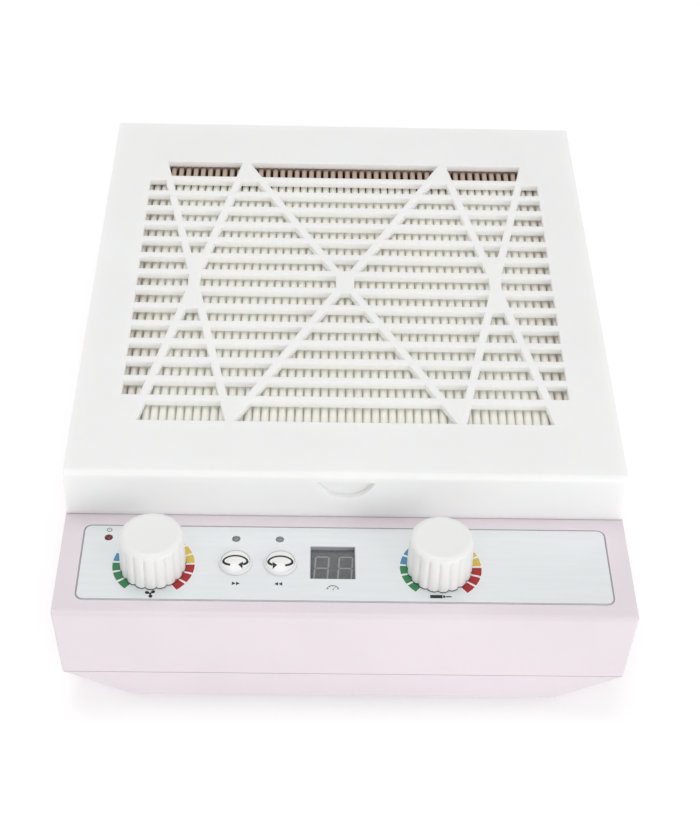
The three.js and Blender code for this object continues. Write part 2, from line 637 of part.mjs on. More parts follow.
for (const [name, x, colour] of [['power', POWER_LED_X, 0x5a1014],
  ['forward', FORWARD_LED_X, 0x84898a], ['reverse', REVERSE_LED_X, 0x84898a]]) {
  const height = PANEL_TOP + 0.3 - BOARD_TOP - GAP;
  const bulb = [[0, 0], [LED_RADIUS, 0], [LED_RADIUS, height - 1], [LED_RADIUS - 0.6, height - 0.2],
    [0, height]];
  addPart(`${name}_light`, turned(bulb, x, LED_Y, BOARD_TOP + GAP, 12), material(colour, 0.2));
}

addPart('control_board', slab(206, 40, BOARD_THICKNESS, -2, 30, BOARD_TOP - BOARD_THICKNESS),
  material(GREEN, 0.5));

// ---------------------------------------------------------------- fan
// A flat plate over the fan with a rounded inlet lip, open for the two rear screw bosses.
function inletPlate() {
  const plate = block(222, 246, INLET_PLATE_THICKNESS, 3, 0, 186, INLET_PLATE_BOTTOM);
  const lip = turnedRing([[INLET_RADIUS, -3], [INLET_RADIUS + 1.6, -3], [INLET_RADIUS + 2.4, 0.5],
    [INLET_RADIUS + 5, INLET_PLATE_THICKNESS], [INLET_RADIUS + 2.6, INLET_PLATE_THICKNESS]],
  0, FAN_Y, INLET_PLATE_BOTTOM, 32);
  const mouth = drum(INLET_RADIUS + 1, 10, 0, FAN_Y, INLET_PLATE_BOTTOM - 4, 32);
  const bossHoles = SCREW_PLACES.slice(2).map(({ x, y }) => drum(4.6, 10, x, y, INLET_PLATE_BOTTOM - 4, 16));
  return cut(cut(plate, mouth).add(lip), ...bossHoles);
}

addPart('fan_inlet_plate', inletPlate(), material(0xd9d9d6, 0.6));

// Rings and spokes over the inlet.
function inletGuard() {
  const bottom = INLET_PLATE_BOTTOM + INLET_PLATE_THICKNESS + GAP;
  const rings = [20, 44].map((radius) => turnedRing([[radius, 0], [radius + 1.6, 0],
    [radius + 1.6, 1.6], [radius, 1.6]], 0, FAN_Y, bottom, 20));
  const spokes = [slab(90, 1.8, 1.6, 0, FAN_Y, bottom), slab(1.8, 90, 1.6, 0, FAN_Y, bottom)];
  return joined(...spokes, ...rings);
}

addPart('fan_guard', inletGuard(), material(STEEL, 0.35, 1));

const SCROLL_WALL = 1.6;
const SCROLL_BOTTOM = PAN_FLOOR + GAP;
const SCROLL_TOP = INLET_PLATE_BOTTOM - GAP;
const OUTLET_END = CASE_REAR - 9;
const TONGUE_DEGREES = 36;

function scrollPoint(degrees, offset) {
  const radius = SCROLL_START + SCROLL_GROWTH * degrees / 360 + offset;
  const angle = THREE.MathUtils.degToRad(degrees);
  return [radius * Math.cos(angle), FAN_Y + radius * Math.sin(angle)];
}

// A spiral wall that opens into a straight duct towards the back, notched for the motor's lead.
function fanScroll() {
  const degrees = [];
  for (let angle = TONGUE_DEGREES; angle <= 360; angle += 9) degrees.push(angle);
  const inside = degrees.map((angle) => scrollPoint(angle, 0));
  const outside = degrees.map((angle) => scrollPoint(angle, SCROLL_WALL));
  const tongueX = inside[0][0];
  const outerX = SCROLL_START + SCROLL_GROWTH;
  const outline = [[tongueX, OUTLET_END], ...inside, [outerX, OUTLET_END],
    [outerX + SCROLL_WALL, OUTLET_END], ...outside.reverse().slice(0, -1),
    [tongueX - SCROLL_WALL, inside[0][1] + 3], [tongueX - SCROLL_WALL, OUTLET_END]];
  const frontWallY = scrollPoint(270, SCROLL_WALL / 2)[1];
  const leadNotch = slab(5, 8, 7, 0, frontWallY, SCROLL_BOTTOM - 1);
  return cut(polygon(outline, SCROLL_TOP - SCROLL_BOTTOM, SCROLL_BOTTOM), leadNotch);
}

addPart('fan_scroll', fanScroll(), material(0xcfd0ce, 0.6));

const MOTOR_RADIUS = 18;
const MOTOR_BOTTOM = 9.8;
const MOTOR_TOP = 32;
const HUB_RADIUS = 20.4;
const WHEEL_BOTTOM = 12;
const WHEEL_TOP = 39;

// One backward-curved blade as a thin arc between the hub side and the rim.
function blade(index) {
  const turn = 2 * Math.PI * index / IMPELLER_BLADES;
  const inner = 34;
  const outer = IMPELLER_RADIUS - 0.6;
  const face = (thickness) => [0, 0.4, 0.7, 1].map((t) => {
    const radius = THREE.MathUtils.lerp(inner, outer, t);
    const angle = turn - 0.75 * t * t - 0.25 * t + thickness / radius;
    return [radius * Math.cos(angle), FAN_Y + radius * Math.sin(angle)];
  });
  const outline = [...face(-0.6), ...face(0.6).reverse()];
  return polygon(outline, WHEEL_TOP - WHEEL_BOTTOM - 1, WHEEL_BOTTOM + 0.5);
}

// The hub cup covers the motor, and a floor disc and a top ring hold the blades.
function impeller() {
  const hub = turnedRing([[2.3, 34.5], [2.3, 40], [5, 40], [6, 37.5], [HUB_RADIUS, 36],
    [HUB_RADIUS + 1.6, 34], [HUB_RADIUS + 1.6, WHEEL_BOTTOM + 1.4], [IMPELLER_RADIUS, WHEEL_BOTTOM + 1.4],
    [IMPELLER_RADIUS, WHEEL_BOTTOM], [HUB_RADIUS, WHEEL_BOTTOM], [HUB_RADIUS, 34.5]], 0, FAN_Y, 0, 24);
  const ring = turnedRing([[INLET_RADIUS + 2, WHEEL_TOP - 1.4], [IMPELLER_RADIUS, WHEEL_TOP - 1.4],
    [IMPELLER_RADIUS, WHEEL_TOP], [INLET_RADIUS + 2, WHEEL_TOP]], 0, FAN_Y, 0, 24);
  const blades = Array.from({ length: IMPELLER_BLADES }, (_, index) => blade(index));
  return joined(hub, ring, ...blades);
}

addPart('impeller', impeller(), material(0x33363a, 0.5));
addPart('motor_shaft', drum(2, 25, 0, FAN_Y, MOTOR_BOTTOM + 4.7, 16), material(STEEL, 0.25, 1));

// The motor can has a bore for the shaft and a seat for a bearing at each end of it.
function motorBody() {
  return cut(drum(MOTOR_RADIUS, MOTOR_TOP - MOTOR_BOTTOM, 0, FAN_Y, MOTOR_BOTTOM, 32),
    drum(2.6, 30, 0, FAN_Y, MOTOR_BOTTOM + 4, 16), drum(5.3, 6, 0, FAN_Y, MOTOR_TOP - 4.3, 20),
    drum(5.3, 4.6, 0, FAN_Y, MOTOR_BOTTOM + 4.4, 20));
}

const bearingProfile = [[2.3, 0], [5, 0], [5, 4], [2.3, 4]];
addPart('motor_body', motorBody(), material(GREY, 0.35, 0.8));
addPart('motor_bearing_upper', turnedRing(bearingProfile, 0, FAN_Y, MOTOR_TOP - 4, 20),
  material(STEEL, 0.2, 1));
addPart('motor_bearing_lower', turnedRing(bearingProfile, 0, FAN_Y, MOTOR_BOTTOM + 4.7, 20),
  material(STEEL, 0.2, 1));

// A three-legged steel plate that carries the motor on the pan floor.
function motorBracket() {
  const bottom = PAN_FLOOR + GAP;
  const legs = [0, 1, 2].map((index) => {
    const angle = 2 * Math.PI * index / 3 + Math.PI / 2;
    const leg = new THREE.BoxGeometry(46, 12, 2).translate(23, 0, 0).rotateZ(angle);
    return solid(leg.translate(0, FAN_Y, bottom + 1));
  });
  return joined(drum(22, 2, 0, FAN_Y, bottom, 32), ...legs);
}

addPart('motor_bracket', motorBracket(), material(STEEL, 0.4, 1));

// ---------------------------------------------------------------- power and drive electronics
const DRIVE_BOARD_Y = 79;
const DRIVE_BOARD_BOTTOM = 10;
const ON_DRIVE_BOARD = DRIVE_BOARD_BOTTOM + BOARD_THICKNESS + GAP;
const CAPACITOR = [[0, 0], [5, 0], [5, 17], [4.4, 18], [0, 18]];
addPart('drive_board', slab(120, 30, BOARD_THICKNESS, -10, DRIVE_BOARD_Y, DRIVE_BOARD_BOTTOM),
  material(GREEN, 0.5));
addPart('drive_capacitor', turned(CAPACITOR, -52, DRIVE_BOARD_Y, ON_DRIVE_BOARD, 16),
  material(0x26324a, 0.35));
addPart('drive_heat_sink', slab(30, 8, 18, 22, DRIVE_BOARD_Y, ON_DRIVE_BOARD), material(GREY, 0.4, 0.9));

// ---------------------------------------------------------------- rear switch and sockets
const REAR_FACE = CASE_REAR + 0.2;
const SWITCH_TILT = THREE.MathUtils.degToRad(10);

function switchBody() {
  const flange = slab(15.4, 1.6, 21.4, SWITCH_X, REAR_FACE + 0.8, SWITCH_Z - 10.7);
  const barrel = slab(12.6, 16, 18.6, SWITCH_X, REAR_FACE - 7.5, SWITCH_Z - 9.3);
  const well = slab(10.2, 8, 15.4, SWITCH_X, REAR_FACE - 1, SWITCH_Z - 7.7);
  return cut(joined(flange, barrel), well);
}

addPart('power_switch_body', switchBody(), material(BLACK, 0.45));

// A shallow V-shaped rocker, resting with its lower half pressed in.
function rocker() {
  const profile = [[-1.8, -7], [-1.8, 7], [2.2, 7], [1, 0], [2.2, -7]];
  const turnedPoints = profile.map(([y, z]) => [
    REAR_FACE + y * Math.cos(SWITCH_TILT) + z * Math.sin(SWITCH_TILT),
    SWITCH_Z - y * Math.sin(SWITCH_TILT) + z * Math.cos(SWITCH_TILT),
  ]);
  return crossPolygon(turnedPoints, 9.4, SWITCH_X);
}

addPart('power_rocker', rocker(), material(0x2c2d30, 0.35));

const INLET_LENGTH = 13;
function dcInlet() {
  const frontY = CASE_REAR - CASE_DRAFT / 2 - INLET_LENGTH;
  const sleeve = cut(plug(5.5, INLET_LENGTH, DC_INLET_X, frontY, DC_INLET_Z, 20),
    plug(3.2, 10, DC_INLET_X, frontY + 3.5, DC_INLET_Z, 16));
  return sleeve.add(plug(1, 9, DC_INLET_X, frontY + 3, DC_INLET_Z, 10));
}

addPart('dc_inlet', dcInlet(), material(BLACK, 0.4));

function handpieceSocket() {
  const outerX = CASE_WIDTH / 2 - CASE_DRAFT / 2 - 0.2;
  const length = 14;
  return cut(rod(7, length, outerX - length / 2, HANDPIECE_Y, HANDPIECE_Z, 24),
    rod(3.4, 11, outerX - 4.5, HANDPIECE_Y, HANDPIECE_Z, 20));
}

addPart('handpiece_socket', handpieceSocket(), material(STEEL, 0.35, 0.9));

// ---------------------------------------------------------------- internal leads
const LEAD_RADIUS = 1.2;
const INLET_LEAD_WAY = [[DC_INLET_X, 298, DC_INLET_Z], [-95, 285, 24], [-96, 240, 14], [-92, 160, 14],
  [-86, 110, 14], [-78, 84, 13]];
const FAN_LEAD_WAY = [[0, 158.5, 9.8], [0, 150, 9.2], [0, 120, 8.9], [0, 104, 9.2], [0, 97, 11]];
const PANEL_LEAD_WAY = [[50, 92, 13], [50, 78, 16], [50, 64, 19], [50, 52, 24], [50, 42, 38], [50, 38, 45]];
addPart('inlet_lead', wire(INLET_LEAD_WAY, LEAD_RADIUS, 18), material(BLACK, 0.6));
addPart('fan_lead', wire(FAN_LEAD_WAY, LEAD_RADIUS, 10), material(0x8a1f22, 0.6));
addPart('panel_lead', wire(PANEL_LEAD_WAY, LEAD_RADIUS, 16), material(GREY, 0.6));

export default machine;
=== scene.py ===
"""The looks of a table-top nail dust collector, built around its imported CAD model.

The visible shells, knobs, keys, display, indicators, prints and the pleated filter are made here.
The inner and small metal parts keep their CAD shape and get softened edges and a material.
Lengths are metres in the model's own frame: +X right, +Y back, +Z up, the table at z = 0.
"""

import json
import math

import bmesh
import bpy
from mathutils import Matrix, Vector, noise


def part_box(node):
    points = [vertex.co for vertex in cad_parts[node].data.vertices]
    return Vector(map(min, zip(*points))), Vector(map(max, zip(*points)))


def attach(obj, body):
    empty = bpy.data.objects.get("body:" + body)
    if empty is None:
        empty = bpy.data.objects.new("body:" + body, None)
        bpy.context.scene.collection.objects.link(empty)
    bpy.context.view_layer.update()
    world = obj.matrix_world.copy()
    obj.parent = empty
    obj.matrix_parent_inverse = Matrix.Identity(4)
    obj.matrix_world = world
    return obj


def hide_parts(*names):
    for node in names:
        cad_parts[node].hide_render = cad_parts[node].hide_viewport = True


MM = 0.001
# how far the top cover's walls lean in from their foot to their top
COVER_DRAFT = 0.5 * MM
# vertices closer than this are one, and faces within this many degrees are one flat face
WELD_DISTANCE = 0.004 * MM
FLAT_DEGREES = 0.5
# edges with a turn above this many degrees get a bevel
CORNER_DEGREES = 40
# thin prints and frames keep their edges above this sharp
THIN_DEGREES = 30
# how far a vertex may lie from a flat level and still belong to it
LEVEL_SLACK = 0.02 * MM

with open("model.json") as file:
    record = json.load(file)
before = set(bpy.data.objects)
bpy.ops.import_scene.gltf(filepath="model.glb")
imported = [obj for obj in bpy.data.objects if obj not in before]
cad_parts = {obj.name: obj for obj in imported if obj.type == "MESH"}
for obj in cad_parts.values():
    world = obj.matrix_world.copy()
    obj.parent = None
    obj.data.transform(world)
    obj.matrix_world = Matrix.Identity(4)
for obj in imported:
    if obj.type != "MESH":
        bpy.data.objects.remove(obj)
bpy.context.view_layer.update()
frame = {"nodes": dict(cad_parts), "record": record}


# ------------------------------------------------------------------ camera, light and floor
FOCAL_PIXELS = 1700
LONG_SIDE_PIXELS = 817
SENSOR = 36
CAMERA_PITCH = math.radians(42.8)
CAMERA_YAW = math.radians(1.71)
CAMERA_ROLL = math.radians(1.93)
EDGE_SEEN_AT = Vector((-1.4, 27.7, 704.4)) * MM
SURROUNDINGS_STRENGTH = 0.63
FLOOR_GLOW = 0.2
FLOOR_REACH = 6
FLOOR_DROP = 0.05 * MM


def cover_front_edge():
    """The middle of the front edge of the cover's top, which the camera is placed by."""
    low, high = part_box("top_cover")
    return Vector((0, low.y + COVER_DRAFT, high.z))


def make_camera():
    """A camera that looks down at the front, with EDGE_SEEN_AT as right, down and away from it."""
    sp, cp = math.sin(CAMERA_PITCH), math.cos(CAMERA_PITCH)
    sy, cy = math.sin(CAMERA_YAW), math.cos(CAMERA_YAW)
    sr, cr = math.sin(CAMERA_ROLL), math.cos(CAMERA_ROLL)
    yaw = Matrix(((cy, -sy, 0), (sy, cy, 0), (0, 0, 1)))
    pitch = Matrix(((1, 0, 0), (0, -sp, -cp), (0, cp, -sp)))
    roll = Matrix(((cr, -sr, 0), (sr, cr, 0), (0, 0, 1)))
    right, down, forward = roll @ pitch @ yaw
    data = bpy.data.cameras.new("camera")
    data.sensor_width = SENSOR
    data.lens = FOCAL_PIXELS * SENSOR / LONG_SIDE_PIXELS
    data.clip_start = 10 * MM
    camera = bpy.data.objects.new("camera", data)
    turn = Matrix((right, -down, -forward)).transposed().to_4x4()
    seen = EDGE_SEEN_AT
    place = cover_front_edge() - (right * seen.x + down * seen.y + forward * seen.z)
    camera.matrix_world = Matrix.Translation(place) @ turn
    bpy.context.scene.collection.objects.link(camera)
    bpy.context.scene.camera = camera


def area_light(name, place, target, size, power):
    """A square soft light of size metres and power watts that points at target."""
    data = bpy.data.lights.new(name, "AREA")
    data.shape = "SQUARE"
    data.size = size
    data.energy = power
    light = bpy.data.objects.new(name, data)
    light.location = place
    light.rotation_euler = (Vector(target) - Vector(place)).to_track_quat("-Z", "Y").to_euler()
    bpy.context.scene.collection.objects.link(light)


def make_lights():
    """Even white surroundings and three softboxes: overhead, low at the front right, over the camera."""
    world = bpy.data.worlds.new("studio")
    world.use_nodes = True
    background = world.node_tree.nodes["Background"]
    background.inputs["Color"].default_value = (1, 1, 1, 1)
    background.inputs["Strength"].default_value = SURROUNDINGS_STRENGTH
    bpy.context.scene.world = world
    middle = (0, 0, 0.06)
    panel = (0, -0.05, 0.06)
    area_light("overhead_light", (-0.15, 0.35, 2.0), middle, size=1.1, power=8.7)
    area_light("front_light", (1.55, -1.85, 0.8), panel, size=1.1, power=13.8)
    area_light("camera_light", (-0.35, -1.4, 1.75), middle, size=1.4, power=4.5)
    bpy.context.scene.view_settings.view_transform = "Standard"


# ------------------------------------------------------------------ materials
PINK = (0.80, 0.725, 0.772)
WHITE = (0.91, 0.91, 0.90)


def new_material(name, colour, roughness, metallic=0.0):
    """A Principled material whose uniform values sit on the shader's own sockets."""
    material = bpy.data.materials.new(name)
    material.use_nodes = True
    material.diffuse_color = (*colour, 1)
    shader = material.node_tree.nodes["Principled BSDF"]
    shader.inputs["Base Color"].default_value = (*colour, 1)
    shader.inputs["Roughness"].default_value = roughness
    shader.inputs["Metallic"].default_value = metallic
    return material


def shader_of(material):
    return material.node_tree.nodes["Principled BSDF"]


def add_node(material, kind, **settings):
    """A shader node; each setting is a property of the node, or else the value of an input."""
    node = material.node_tree.nodes.new(kind)
    for key, value in settings.items():
        if hasattr(node, key):
            setattr(node, key, value)
        else:
            node.inputs[key].default_value = value
    return node


def join_nodes(material, source, target):
    material.node_tree.links.new(source, target)


def place_node(material, stretch=(1, 1, 1)):
    """Object coordinates, which are the model's own metres, stretched along each axis."""
    coordinates = add_node(material, "ShaderNodeTexCoord")
    mapping = add_node(material, "ShaderNodeMapping")
    mapping.inputs["Scale"].default_value = stretch
    join_nodes(material, coordinates.outputs["Object"], mapping.inputs["Vector"])
    return mapping.outputs["Vector"]


def noise_node(material, vector, size, detail=2.0, roughness=0.5):
    """Noise whose blotches are about size metres across."""
    node = add_node(material, "ShaderNodeTexNoise", Scale=1 / size, Detail=detail, Roughness=roughness)
    join_nodes(material, vector, node.inputs["Vector"])
    return node.outputs["Fac"]


def vary_colour(material, factor, dark, light, low=0.35, high=0.65):
    """Base colour that runs from dark to light as factor goes from low to high."""
    ramp = add_node(material, "ShaderNodeValToRGB")
    ramp.color_ramp.elements[0].position = low
    ramp.color_ramp.elements[0].color = (*dark, 1)
    ramp.color_ramp.elements[1].position = high
    ramp.color_ramp.elements[1].color = (*light, 1)
    join_nodes(material, factor, ramp.inputs["Fac"])
    join_nodes(material, ramp.outputs["Color"], shader_of(material).inputs["Base Color"])


def vary_roughness(material, factor, low, high):
    """Roughness that runs from low to high over the middle of the noise's range."""
    mapped = add_node(material, "ShaderNodeMapRange")
    mapped.inputs["From Min"].default_value = 0.3
    mapped.inputs["From Max"].default_value = 0.7
    mapped.inputs["To Min"].default_value = low
    mapped.inputs["To Max"].default_value = high
    join_nodes(material, factor, mapped.inputs["Value"])
    join_nodes(material, mapped.outputs["Result"], shader_of(material).inputs["Roughness"])


def add_bump(material, height, strength, distance):
    """Fine relief, distance metres deep at full strength."""
    bump = add_node(material, "ShaderNodeBump")
    bump.inputs["Strength"].default_value = strength
    bump.inputs["Distance"].default_value = distance
    join_nodes(material, height, bump.inputs["Height"])
    join_nodes(material, bump.outputs["Normal"], shader_of(material).inputs["Normal"])


def shaded(colour, share):
    return tuple(channel * share for channel in colour)


def moulded_plastic(name, colour, roughness, grain=0.5 * MM, depth=0.03, spread=0.03):
    """Injection-moulded plastic: cloudy tone, uneven sheen and a fine spark-eroded grain."""
    material = new_material(name, colour, roughness)
    vector = place_node(material)
    clouds = noise_node(material, vector, 60 * MM, 4)
    vary_colour(material, clouds, shaded(colour, 1 - spread), shaded(colour, 1 + spread / 3))
    sheen = noise_node(material, vector, 12 * MM, 2)
    vary_roughness(material, sheen, roughness - 0.015, roughness + 0.02)
    add_bump(material, noise_node(material, vector, grain, 3, 0.6), 0.35, depth * MM)
    return material


def plain_metal(name, colour, roughness, stretch=(1, 1, 1), streak=0.4 * MM):
    """Plated or turned metal with fine streaks along the axis that stretch leaves long."""
    material = new_material(name, colour, roughness, 1.0)
    vector = place_node(material, stretch)
    streaks = noise_node(material, vector, streak, 3)
    vary_colour(material, streaks, shaded(colour, 0.86), colour, 0.3, 0.7)
    vary_roughness(material, streaks, roughness - 0.06, roughness + 0.1)
    add_bump(material, streaks, 0.25, 0.02 * MM)
    return material


def mapped_range(material, value, start, end):
    """0 to 1 as value goes from start to end, and held outside them."""
    node = add_node(material, "ShaderNodeMapRange", interpolation_type="SMOOTHSTEP")
    node.inputs["From Min"].default_value = start
    node.inputs["From Max"].default_value = end
    join_nodes(material, value, node.inputs["Value"])
    return node.outputs["Result"]


def combine(material, operation, first, second):
    """A math node of two values, each a socket or a number."""
    node = add_node(material, "ShaderNodeMath", operation=operation)
    for socket, value in zip(node.inputs, (first, second)):
        if isinstance(value, (int, float)):
            socket.default_value = value
        else:
            join_nodes(material, value, socket)
    return node.outputs["Value"]


def mix_colours(material, factor, first, second):
    """A colour between first and second, each a socket or a colour."""
    node = add_node(material, "ShaderNodeMix", data_type="RGBA")
    share, colour_a, colour_b = node.inputs[0], node.inputs[6], node.inputs[7]
    join_nodes(material, factor, share)
    for socket, value in ((colour_a, first), (colour_b, second)):
        if isinstance(value, tuple):
            socket.default_value = (*value, 1)
        else:
            join_nodes(material, value, socket)
    colour = node.outputs[2]
    return colour


def filter_paper(name):
    """Thin cream paper with fibres, with painted shade that darkens it down its gaps and browns it towards
    the rear end and the sides, and a faint painted glow elsewhere.
    """
    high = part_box("filter_pleats")[1]
    cream = (0.89, 0.885, 0.82)
    # painted shade: the crest colour where the rear end is shaded, and the colour down in the gaps
    shaded_crest = (0.47, 0.335, 0.26)
    fold_shade = (0.11, 0.055, 0.035)
    material = new_material(name, cream, 0.92)
    split = add_node(material, "ShaderNodeSeparateXYZ")
    coordinates = add_node(material, "ShaderNodeTexCoord")
    join_nodes(material, coordinates.outputs["Object"], split.inputs["Vector"])
    fibres = noise_node(material, place_node(material, (1, 0.35, 1)), 1.1 * MM, 6, 0.7)
    # 0 on the crests and 1 down in the gaps, where painted shade darkens the paper
    fold = mapped_range(material, split.outputs["Z"], high.z - 0.6 * MM, high.z - 2.6 * MM)
    # 1 where painted shade browns the rear end, and less along the sides
    rear_shade = mapped_range(material, split.outputs["Y"], high.y - 17.5 * MM, high.y - 8 * MM)
    sideways = combine(material, "ABSOLUTE", split.outputs["X"], 0)
    edge = mapped_range(material, sideways, high.x - 18 * MM, high.x - 2 * MM)
    painted_shade = combine(material, "MAXIMUM", rear_shade, combine(material, "MULTIPLY", edge, 0.3))
    # painted shade: the gaps are dark only where the painted shade browns the paper
    shade_squared = combine(material, "MULTIPLY", painted_shade, painted_shade)
    share = combine(material, "ADD", combine(material, "MULTIPLY", shade_squared, 0.9), 0.06)
    depth = combine(material, "MULTIPLY", fold, share)
    paper = mix_colours(material, fibres, shaded(cream, 0.95), shaded(cream, 1.03))
    # painted shade browns the crests towards the rear end and the sides
    crest = mix_colours(material, combine(material, "MULTIPLY", painted_shade, 0.85), paper, shaded_crest)
    folded = mix_colours(material, depth, crest, fold_shade)
    join_nodes(material, folded, shader_of(material).inputs["Base Color"])
    # painted glow: paper outside the painted shade gives off a little light of its own
    unshaded = combine(material, "SUBTRACT", 1, painted_shade)
    painted_glow = combine(material, "MULTIPLY", unshaded, 0.05)
    join_nodes(material, painted_glow, shader_of(material).inputs["Emission Strength"])
    shader_of(material).inputs["Emission Color"].default_value = (1, 0.98, 0.9, 1)
    vary_roughness(material, fibres, 0.85, 0.98)
    add_bump(material, fibres, 0.6, 0.12 * MM)
    return material


def panel_label(name):
    """Silver-white printed foil: a faint metallic sparkle and soft streaks along the panel."""
    colour = (0.775, 0.804, 0.818)
    material = new_material(name, colour, 0.42, 0.15)
    streaks = noise_node(material, place_node(material, (0.08, 1, 1)), 2.2 * MM, 4)
    vary_colour(material, streaks, shaded(colour, 0.985), shaded(colour, 1.012))
    flakes = noise_node(material, place_node(material), 0.25 * MM, 2)
    vary_roughness(material, flakes, 0.36, 0.5)
    add_bump(material, flakes, 0.2, 0.008 * MM)
    return material


def ink(name, colour):
    """Screen-printed ink with an uneven edge-to-edge coat."""
    material = new_material(name, colour, 0.5)
    coat = noise_node(material, place_node(material), 0.6 * MM, 4)
    vary_colour(material, coat, shaded(colour, 0.88), shaded(colour, 1.06))
    vary_roughness(material, coat, 0.42, 0.58)
    return material


def clear_plastic(name, colour, roughness=0.12, coat=0.35):
    """Tinted lens plastic, with a clear coat and slight flow marks."""
    material = new_material(name, colour, roughness)
    shader_of(material).inputs["Coat Weight"].default_value = coat
    shader_of(material).inputs["Coat Roughness"].default_value = 0.06
    flow = noise_node(material, place_node(material), 1.5 * MM, 3)
    vary_colour(material, flow, shaded(colour, 0.85), shaded(colour, 1.15))
    vary_roughness(material, flow, roughness, roughness + 0.08)
    return material


def rubber(name, colour):
    """Dull rubber or foam with a dusty, pitted surface."""
    material = new_material(name, colour, 0.82)
    vector = place_node(material)
    dust = noise_node(material, vector, 4 * MM, 5)
    vary_colour(material, dust, shaded(colour, 0.7), shaded(colour, 1.4))
    add_bump(material, noise_node(material, vector, 0.3 * MM, 4), 0.5, 0.05 * MM)
    return material


def circuit_board(name):
    """Green solder mask with copper tracks showing faintly through it."""
    colour = (0.02, 0.16, 0.075)
    material = new_material(name, colour, 0.35)
    vector = place_node(material)
    tracks = add_node(material, "ShaderNodeTexBrick", Scale=160)
    tracks.inputs["Color1"].default_value = (0.02, 0.15, 0.07, 1)
    tracks.inputs["Color2"].default_value = (0.025, 0.19, 0.09, 1)
    tracks.inputs["Mortar"].default_value = (0.05, 0.26, 0.12, 1)
    tracks.inputs["Mortar Size"].default_value = 0.06
    join_nodes(material, vector, tracks.inputs["Vector"])
    join_nodes(material, tracks.outputs["Color"], shader_of(material).inputs["Base Color"])
    add_bump(material, tracks.outputs["Fac"], 0.3, 0.03 * MM)
    vary_roughness(material, noise_node(material, vector, 2 * MM, 3), 0.3, 0.42)
    return material


def cover_plastic(name):
    """Thin white plastic that passes light under its surface, with a painted glow on its steep faces that
    makes them brighter.
    """
    material = moulded_plastic(name, WHITE, 0.52, grain=0.45 * MM, depth=0.02, spread=0.02)
    shader = shader_of(material)
    shader.inputs["Subsurface Weight"].default_value = 0.8
    shader.inputs["Subsurface Radius"].default_value = (1, 0.95, 0.85)
    shader.inputs["Subsurface Scale"].default_value = 3 * MM
    facing = add_node(material, "ShaderNodeSeparateXYZ")
    coordinates = add_node(material, "ShaderNodeTexCoord")
    join_nodes(material, coordinates.outputs["Normal"], facing.inputs["Vector"])
    level_share = combine(material, "ABSOLUTE", facing.outputs["Z"], 0)
    steep = mapped_range(material, level_share, 0.85, 0.4)
    # painted glow: steep faces give off a little light of their own
    painted_glow = combine(material, "MULTIPLY", steep, 0.046)
    shader.inputs["Emission Color"].default_value = (1, 0.985, 0.92, 1)
    join_nodes(material, painted_glow, shader.inputs["Emission Strength"])
    return material


MATERIALS = {
    "case_pink": moulded_plastic("case_pink", PINK, 0.31),
    "cover_white": cover_plastic("cover_white"),
    "knob_white": moulded_plastic("knob_white", (0.86, 0.86, 0.845), 0.33, depth=0.012, spread=0.02),
    "button_white": moulded_plastic("button_white", (0.87, 0.875, 0.865), 0.2, depth=0.006, spread=0.02),
    "button_ring": moulded_plastic("button_ring", (0.80, 0.815, 0.82), 0.25, depth=0.006),
    "black_plastic": moulded_plastic("black_plastic", (0.022, 0.022, 0.024), 0.5, spread=0.3),
    "rocker_black": moulded_plastic("rocker_black", (0.028, 0.028, 0.031), 0.3, depth=0.01, spread=0.2),
    "grey_plastic": moulded_plastic("grey_plastic", (0.62, 0.62, 0.60), 0.5),
    "capacitor_sleeve": moulded_plastic("capacitor_sleeve", (0.02, 0.035, 0.1), 0.35, spread=0.2),
    "filter_card": moulded_plastic("filter_card", (0.76, 0.73, 0.64), 0.85, grain=0.8 * MM, depth=0.08),
    "steel": plain_metal("steel", (0.62, 0.63, 0.64), 0.3, (1, 1, 0.1)),
    "plated_metal": plain_metal("plated_metal", (0.5, 0.51, 0.52), 0.38),
    "heat_sink": plain_metal("heat_sink", (0.48, 0.49, 0.5), 0.42, (0.05, 1, 1)),
    "filter_paper": filter_paper("filter_paper"),
    "panel_silver": panel_label("panel_silver"),
    "display_smoke": clear_plastic("display_smoke", (0.125, 0.13, 0.135)),
    "display_liner": moulded_plastic("display_liner", (0.42, 0.42, 0.46), 0.4, depth=0.01),
    "light_red": clear_plastic("light_red", (0.16, 0.006, 0.011), coat=0.1),
    "light_grey": clear_plastic("light_grey", (0.19, 0.205, 0.205)),
    "foam": rubber("foam", (0.05, 0.05, 0.055)),
    "foot_rubber": rubber("foot_rubber", (0.03, 0.03, 0.032)),
    "lead_black": rubber("lead_black", (0.02, 0.02, 0.022)),
    "lead_red": rubber("lead_red", (0.3, 0.02, 0.025)),
    "lead_grey": rubber("lead_grey", (0.35, 0.36, 0.37)),
    "circuit_board": circuit_board("circuit_board"),
}
INKS = {
    "dark": ink("ink_dark", (0.014, 0.015, 0.017)),
    # painted shade of the groove round the panel label
    "edge": ink("painted_groove_shade", (0.25, 0.26, 0.28)),
    "green": ink("ink_green", (0.025, 0.22, 0.075)),
    "blue": ink("ink_blue", (0.06, 0.26, 0.45)),
    "violet": ink("ink_violet", (0.22, 0.10, 0.42)),
    "yellow": ink("ink_yellow", (0.68, 0.50, 0.07)),
    "red": ink("ink_red", (0.415, 0.008, 0.014)),
    "white": ink("ink_white", (0.88, 0.88, 0.87)),
    "segment": ink("ink_segment", (0.30, 0.305, 0.31)),
}


# ------------------------------------------------------------------ mesh helpers
SLOTS = {row["node"]: row["material_slot"] for row in frame["record"]["subparts"]}
BODIES = {node: body for body, nodes in frame["record"]["behaviour"]["bodies"].items() for node in nodes}


def panel_mark(piece):
    """The piece is printed on, or let into, the fixed panel."""
    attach(piece, "case")


def centre(node):
    low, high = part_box(node)
    return (low + high) / 2


